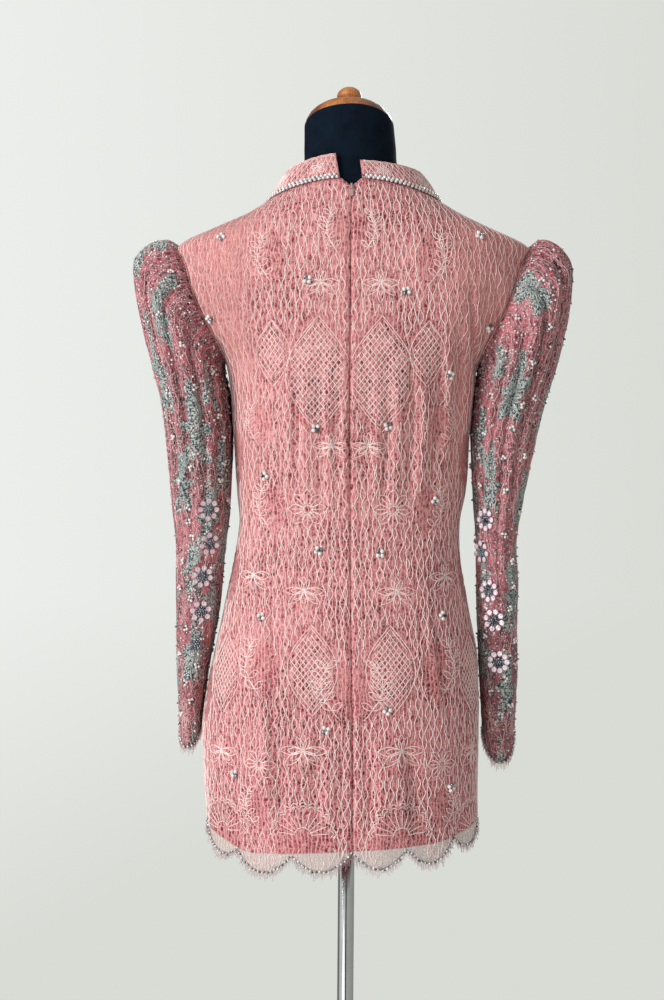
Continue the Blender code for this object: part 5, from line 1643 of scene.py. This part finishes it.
class KEBAYA_OT_form(bpy.types.Operator):
    """Make the jersey-covered form with its neck, and give the turned cap and knob on it their varnished
    wood
    """
    bl_idname = "kebaya.form"
    bl_label = "Dress form"

    def execute(self, context):
        angle = np.linspace(0, ROUND, FORM_COLUMNS, endpoint=False)
        levels = np.concatenate([np.arange(FORM_UNDERSIDE + 6, UNDERARM, 12.0),
                                 np.linspace(UNDERARM, NECKLINE, 26)])
        gap = np.interp(levels, list(FORM_GAPS), list(FORM_GAPS.values()))
        inside = (LACE_WALL + LAYER_GAP + LINING_WALL + gap)[:, None, None]
        rows = body_surface(angle, levels[:, None]) - body_normal(angle, levels[:, None]) * inside
        rings = section_ring(np.repeat(FORM_NECK[:, None], FORM_COLUMNS, axis=1), angle, rise_power=1)
        knots = np.append(levels[-1], FORM_NECK[:, 0])
        neck = smooth_rows(np.concatenate([rows[-1:], rings]).reshape(len(knots), -1), knots,
                           np.linspace(knots[0], knots[-1], 22)[1:])
        rows = np.concatenate([rows, neck.reshape(-1, FORM_COLUMNS, 3)])[::-1]
        lip, foot = ([ring.mean(axis=0) + (ring - ring.mean(axis=0)) * share + (0, 0, rise)
                      for share, rise in steps]
                     for ring, steps in ((rows[0], FORM_LIP), (rows[-1], FORM_FOOT)))
        rows = np.concatenate([lip, rows, foot])
        points, *face_sets = closed_rings(rows, rows[0].mean(axis=0), rows[-1].mean(axis=0))
        show("dress_form_cover", make_mesh(points, face_sets), "black_jersey",
             replaced=["form_body"])
        for node in ("form_neck_cap", "form_neck_knob"):
            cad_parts[node].material_slots[0].material = kebaya_material("varnished_pine")
        return {"FINISHED"}


# Radius and height, from the top to the underside.
BASE_PROFILE = [(0, 58), (17, 58), (20, 55), (20, 20), (26, 14), (160, 10), (168, 6), (170, 4), (168, 0),
                (0, 0)]
SOCKET_PROFILE = [(0, 66), (12, 66), (14, 64), (14, 58.5), (0, 58.5)]


class KEBAYA_OT_stand(bpy.types.Operator):
    """Make the chromed pole and the round enamelled base with its socket"""
    bl_idname = "kebaya.stand"
    bl_label = "Pole and base"

    def execute(self, context):
        low, high = (corner[2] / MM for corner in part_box("stand_pole"))
        pole = [(0, high), (8.4, high), (9.0, high - 0.6), (9.0, low + 0.6), (8.4, low), (0, low)]
        show("chromed_pole", lathe(pole), "chromed_steel", replaced=["stand_pole"])
        show("round_base", lathe(rounded(BASE_PROFILE, 2.2), 128), "black_enamel",
             replaced=["stand_base"])
        show("socket_collar", lathe(rounded(SOCKET_PROFILE, 1.2)), "chromed_steel")
        return {"FINISHED"}


# ======================== stage
EYE = (0.0, -2.2, 1.129)            # metres, as are all the stage's places
AIM = (-0.0189, 0.0, 1.101)
LEAN = math.radians(0.43)
FRAME_HEIGHT, SENSOR_HEIGHT = 1.11, 36.0    # what the camera takes in at the pole, in metres; in mm
WALLS = [
    # all round from the left: a bright wall, a dark doorway in front, a dimmer wall, and a dark corner
    (0.0, 0.9), (0.215, 0.9), (0.235, 0.1), (0.268, 0.1), (0.29, 0.75), (0.5, 0.6), (0.74, 0.4),
    (0.78, 0.25), (0.96, 0.25), (1.0, 0.9),
]
LAMPS = (
    # name, place, aim, diameter, power
    ("key_light", (-2.3, -1.9, 2.2), (0, 0, 1.1), 1.0, 58.0),
    ("low_fill", (-1.2, -2.2, 0.5), (0, 0, 0.9), 1.6, 9.0),
    ("far_fill", (0.9, 2.6, 1.9), (0, 0, 1.0), 1.5, 42.0),
)


def surroundings():
    """Pale surroundings, brighter on the left.  They light the piece more dimly than they show, so that
    the lamp's light and shade stay clear."""
    world = bpy.data.worlds.new("studio")
    world.use_nodes = True
    tree = world.node_tree
    way = add(tree, "TexCoord").outputs["Generated"]
    axes = add(tree, "SeparateXYZ", {0: way}).outputs
    # painted shade: what the camera sees of the surroundings darkens to the right and towards the bottom
    across = add(tree, "MapRange", between(axes["X"], (-0.17, 0.17)))
    down = add(tree, "MapRange", between(axes["Z"], (-0.06, -0.24)))
    shade = add(tree, "Math", {0: across, 1: down}, operation="ADD")
    seen = add(tree, "ValToRGB", {"Fac": shade}, [(0.0, hue("backdrop")), (1.0, hue("backdrop_shade"))])
    about = add(tree, "TexGradient", {"Vector": way}, gradient_type="RADIAL").outputs["Fac"]
    thrown = add(tree, "ValToRGB", {"Fac": about}, [(at, (light,) * 3 + (1.0,)) for at, light in WALLS])
    shown = add(tree, "LightPath").outputs["Is Camera Ray"]
    strength = add(tree, "Mix", {"Factor": shown, 2: thrown, 3: 1.0})
    feed(tree, tree.nodes["Background"], {"Color": seen, "Strength": strength})
    return world


def set_out(name, data, place, aim):
    """A lamp or the camera, at a place and looking at its aim."""
    thing = bpy.data.objects.new(name, data)
    thing.location = place
    thing.rotation_mode = "QUATERNION"
    thing.rotation_quaternion = (Vector(aim) - Vector(place)).to_track_quat("-Z", "Y")
    bpy.context.scene.collection.objects.link(thing)
    return thing


class KEBAYA_OT_stage(bpy.types.Operator):
    """Make the floor, the soft lights, the pale surroundings and the camera"""
    bl_idname = "kebaya.stage"
    bl_label = "Stage"

    def execute(self, context):
        radius = sizes_in_mm().floor_radius
        board = lathe([(0, -0.2), (radius - 4, -0.2), (radius, -3), (radius, -24), (0, -24)], 160)
        board.materials.append(kebaya_material("pale_floor"))
        floor = bpy.data.objects.new("floor", board)
        context.scene.collection.objects.link(floor)
        context.scene.world = surroundings()
        for name, place, aim, diameter, power in LAMPS:
            lamp = bpy.data.lights.new(name, "AREA")
            lamp.shape, lamp.size, lamp.energy = "DISK", diameter, power
            set_out(name, lamp, place, aim)
        eye = bpy.data.cameras.new("eye")
        eye.sensor_fit, eye.sensor_height = "VERTICAL", SENSOR_HEIGHT
        eye.lens = SENSOR_HEIGHT * -EYE[1] / FRAME_HEIGHT
        camera = set_out("eye", eye, EYE, AIM)
        camera.rotation_quaternion = camera.rotation_quaternion @ Quaternion((0, 0, 1), LEAN)
        context.scene.camera = camera
        context.scene.view_settings.view_transform = "Standard"
        return {"FINISHED"}


# ======================== add-on
class KEBAYA_PT_sidebar(bpy.types.Panel):
    """The sizes, the colours and a button for each piece"""
    bl_idname = "KEBAYA_PT_sidebar"
    bl_label = "Lace kebaya blouse"
    bl_space_type = "VIEW_3D"
    bl_region_type = "UI"
    bl_category = "Kebaya"

    def draw(self, context):
        for settings in (context.scene.kebaya_sizes, context.scene.kebaya_colours):
            box = self.layout.box()
            for key in settings.bl_rna.properties.keys():
                if key not in ("rna_type", "name"):
                    box.prop(settings, key)
        for operator in OPERATORS:
            self.layout.operator(operator.bl_idname)


OPERATORS = (KEBAYA_OT_stand, KEBAYA_OT_form, KEBAYA_OT_lining, KEBAYA_OT_lace_panels, KEBAYA_OT_sleeves,
             KEBAYA_OT_collar, KEBAYA_OT_edging, KEBAYA_OT_pearls, KEBAYA_OT_zip, KEBAYA_OT_stage)
CLASSES = (KebayaSizes, KebayaColours, *OPERATORS, KEBAYA_PT_sidebar)


def register():
    """Add the operators, the panel and the settings."""
    for kind in CLASSES:
        bpy.utils.register_class(kind)
    bpy.types.Scene.kebaya_sizes = bpy.props.PointerProperty(type=KebayaSizes)
    bpy.types.Scene.kebaya_colours = bpy.props.PointerProperty(type=KebayaColours)


def unregister():
    """Take them away again."""
    del bpy.types.Scene.kebaya_colours
    del bpy.types.Scene.kebaya_sizes
    for kind in reversed(CLASSES):
        bpy.utils.unregister_class(kind)


def main():
    """Make every piece in order."""
    register()
    for operator in OPERATORS:
        group, name = operator.bl_idname.split(".")
        getattr(getattr(bpy.ops, group), name)()


if __name__ == "__main__":
    main()
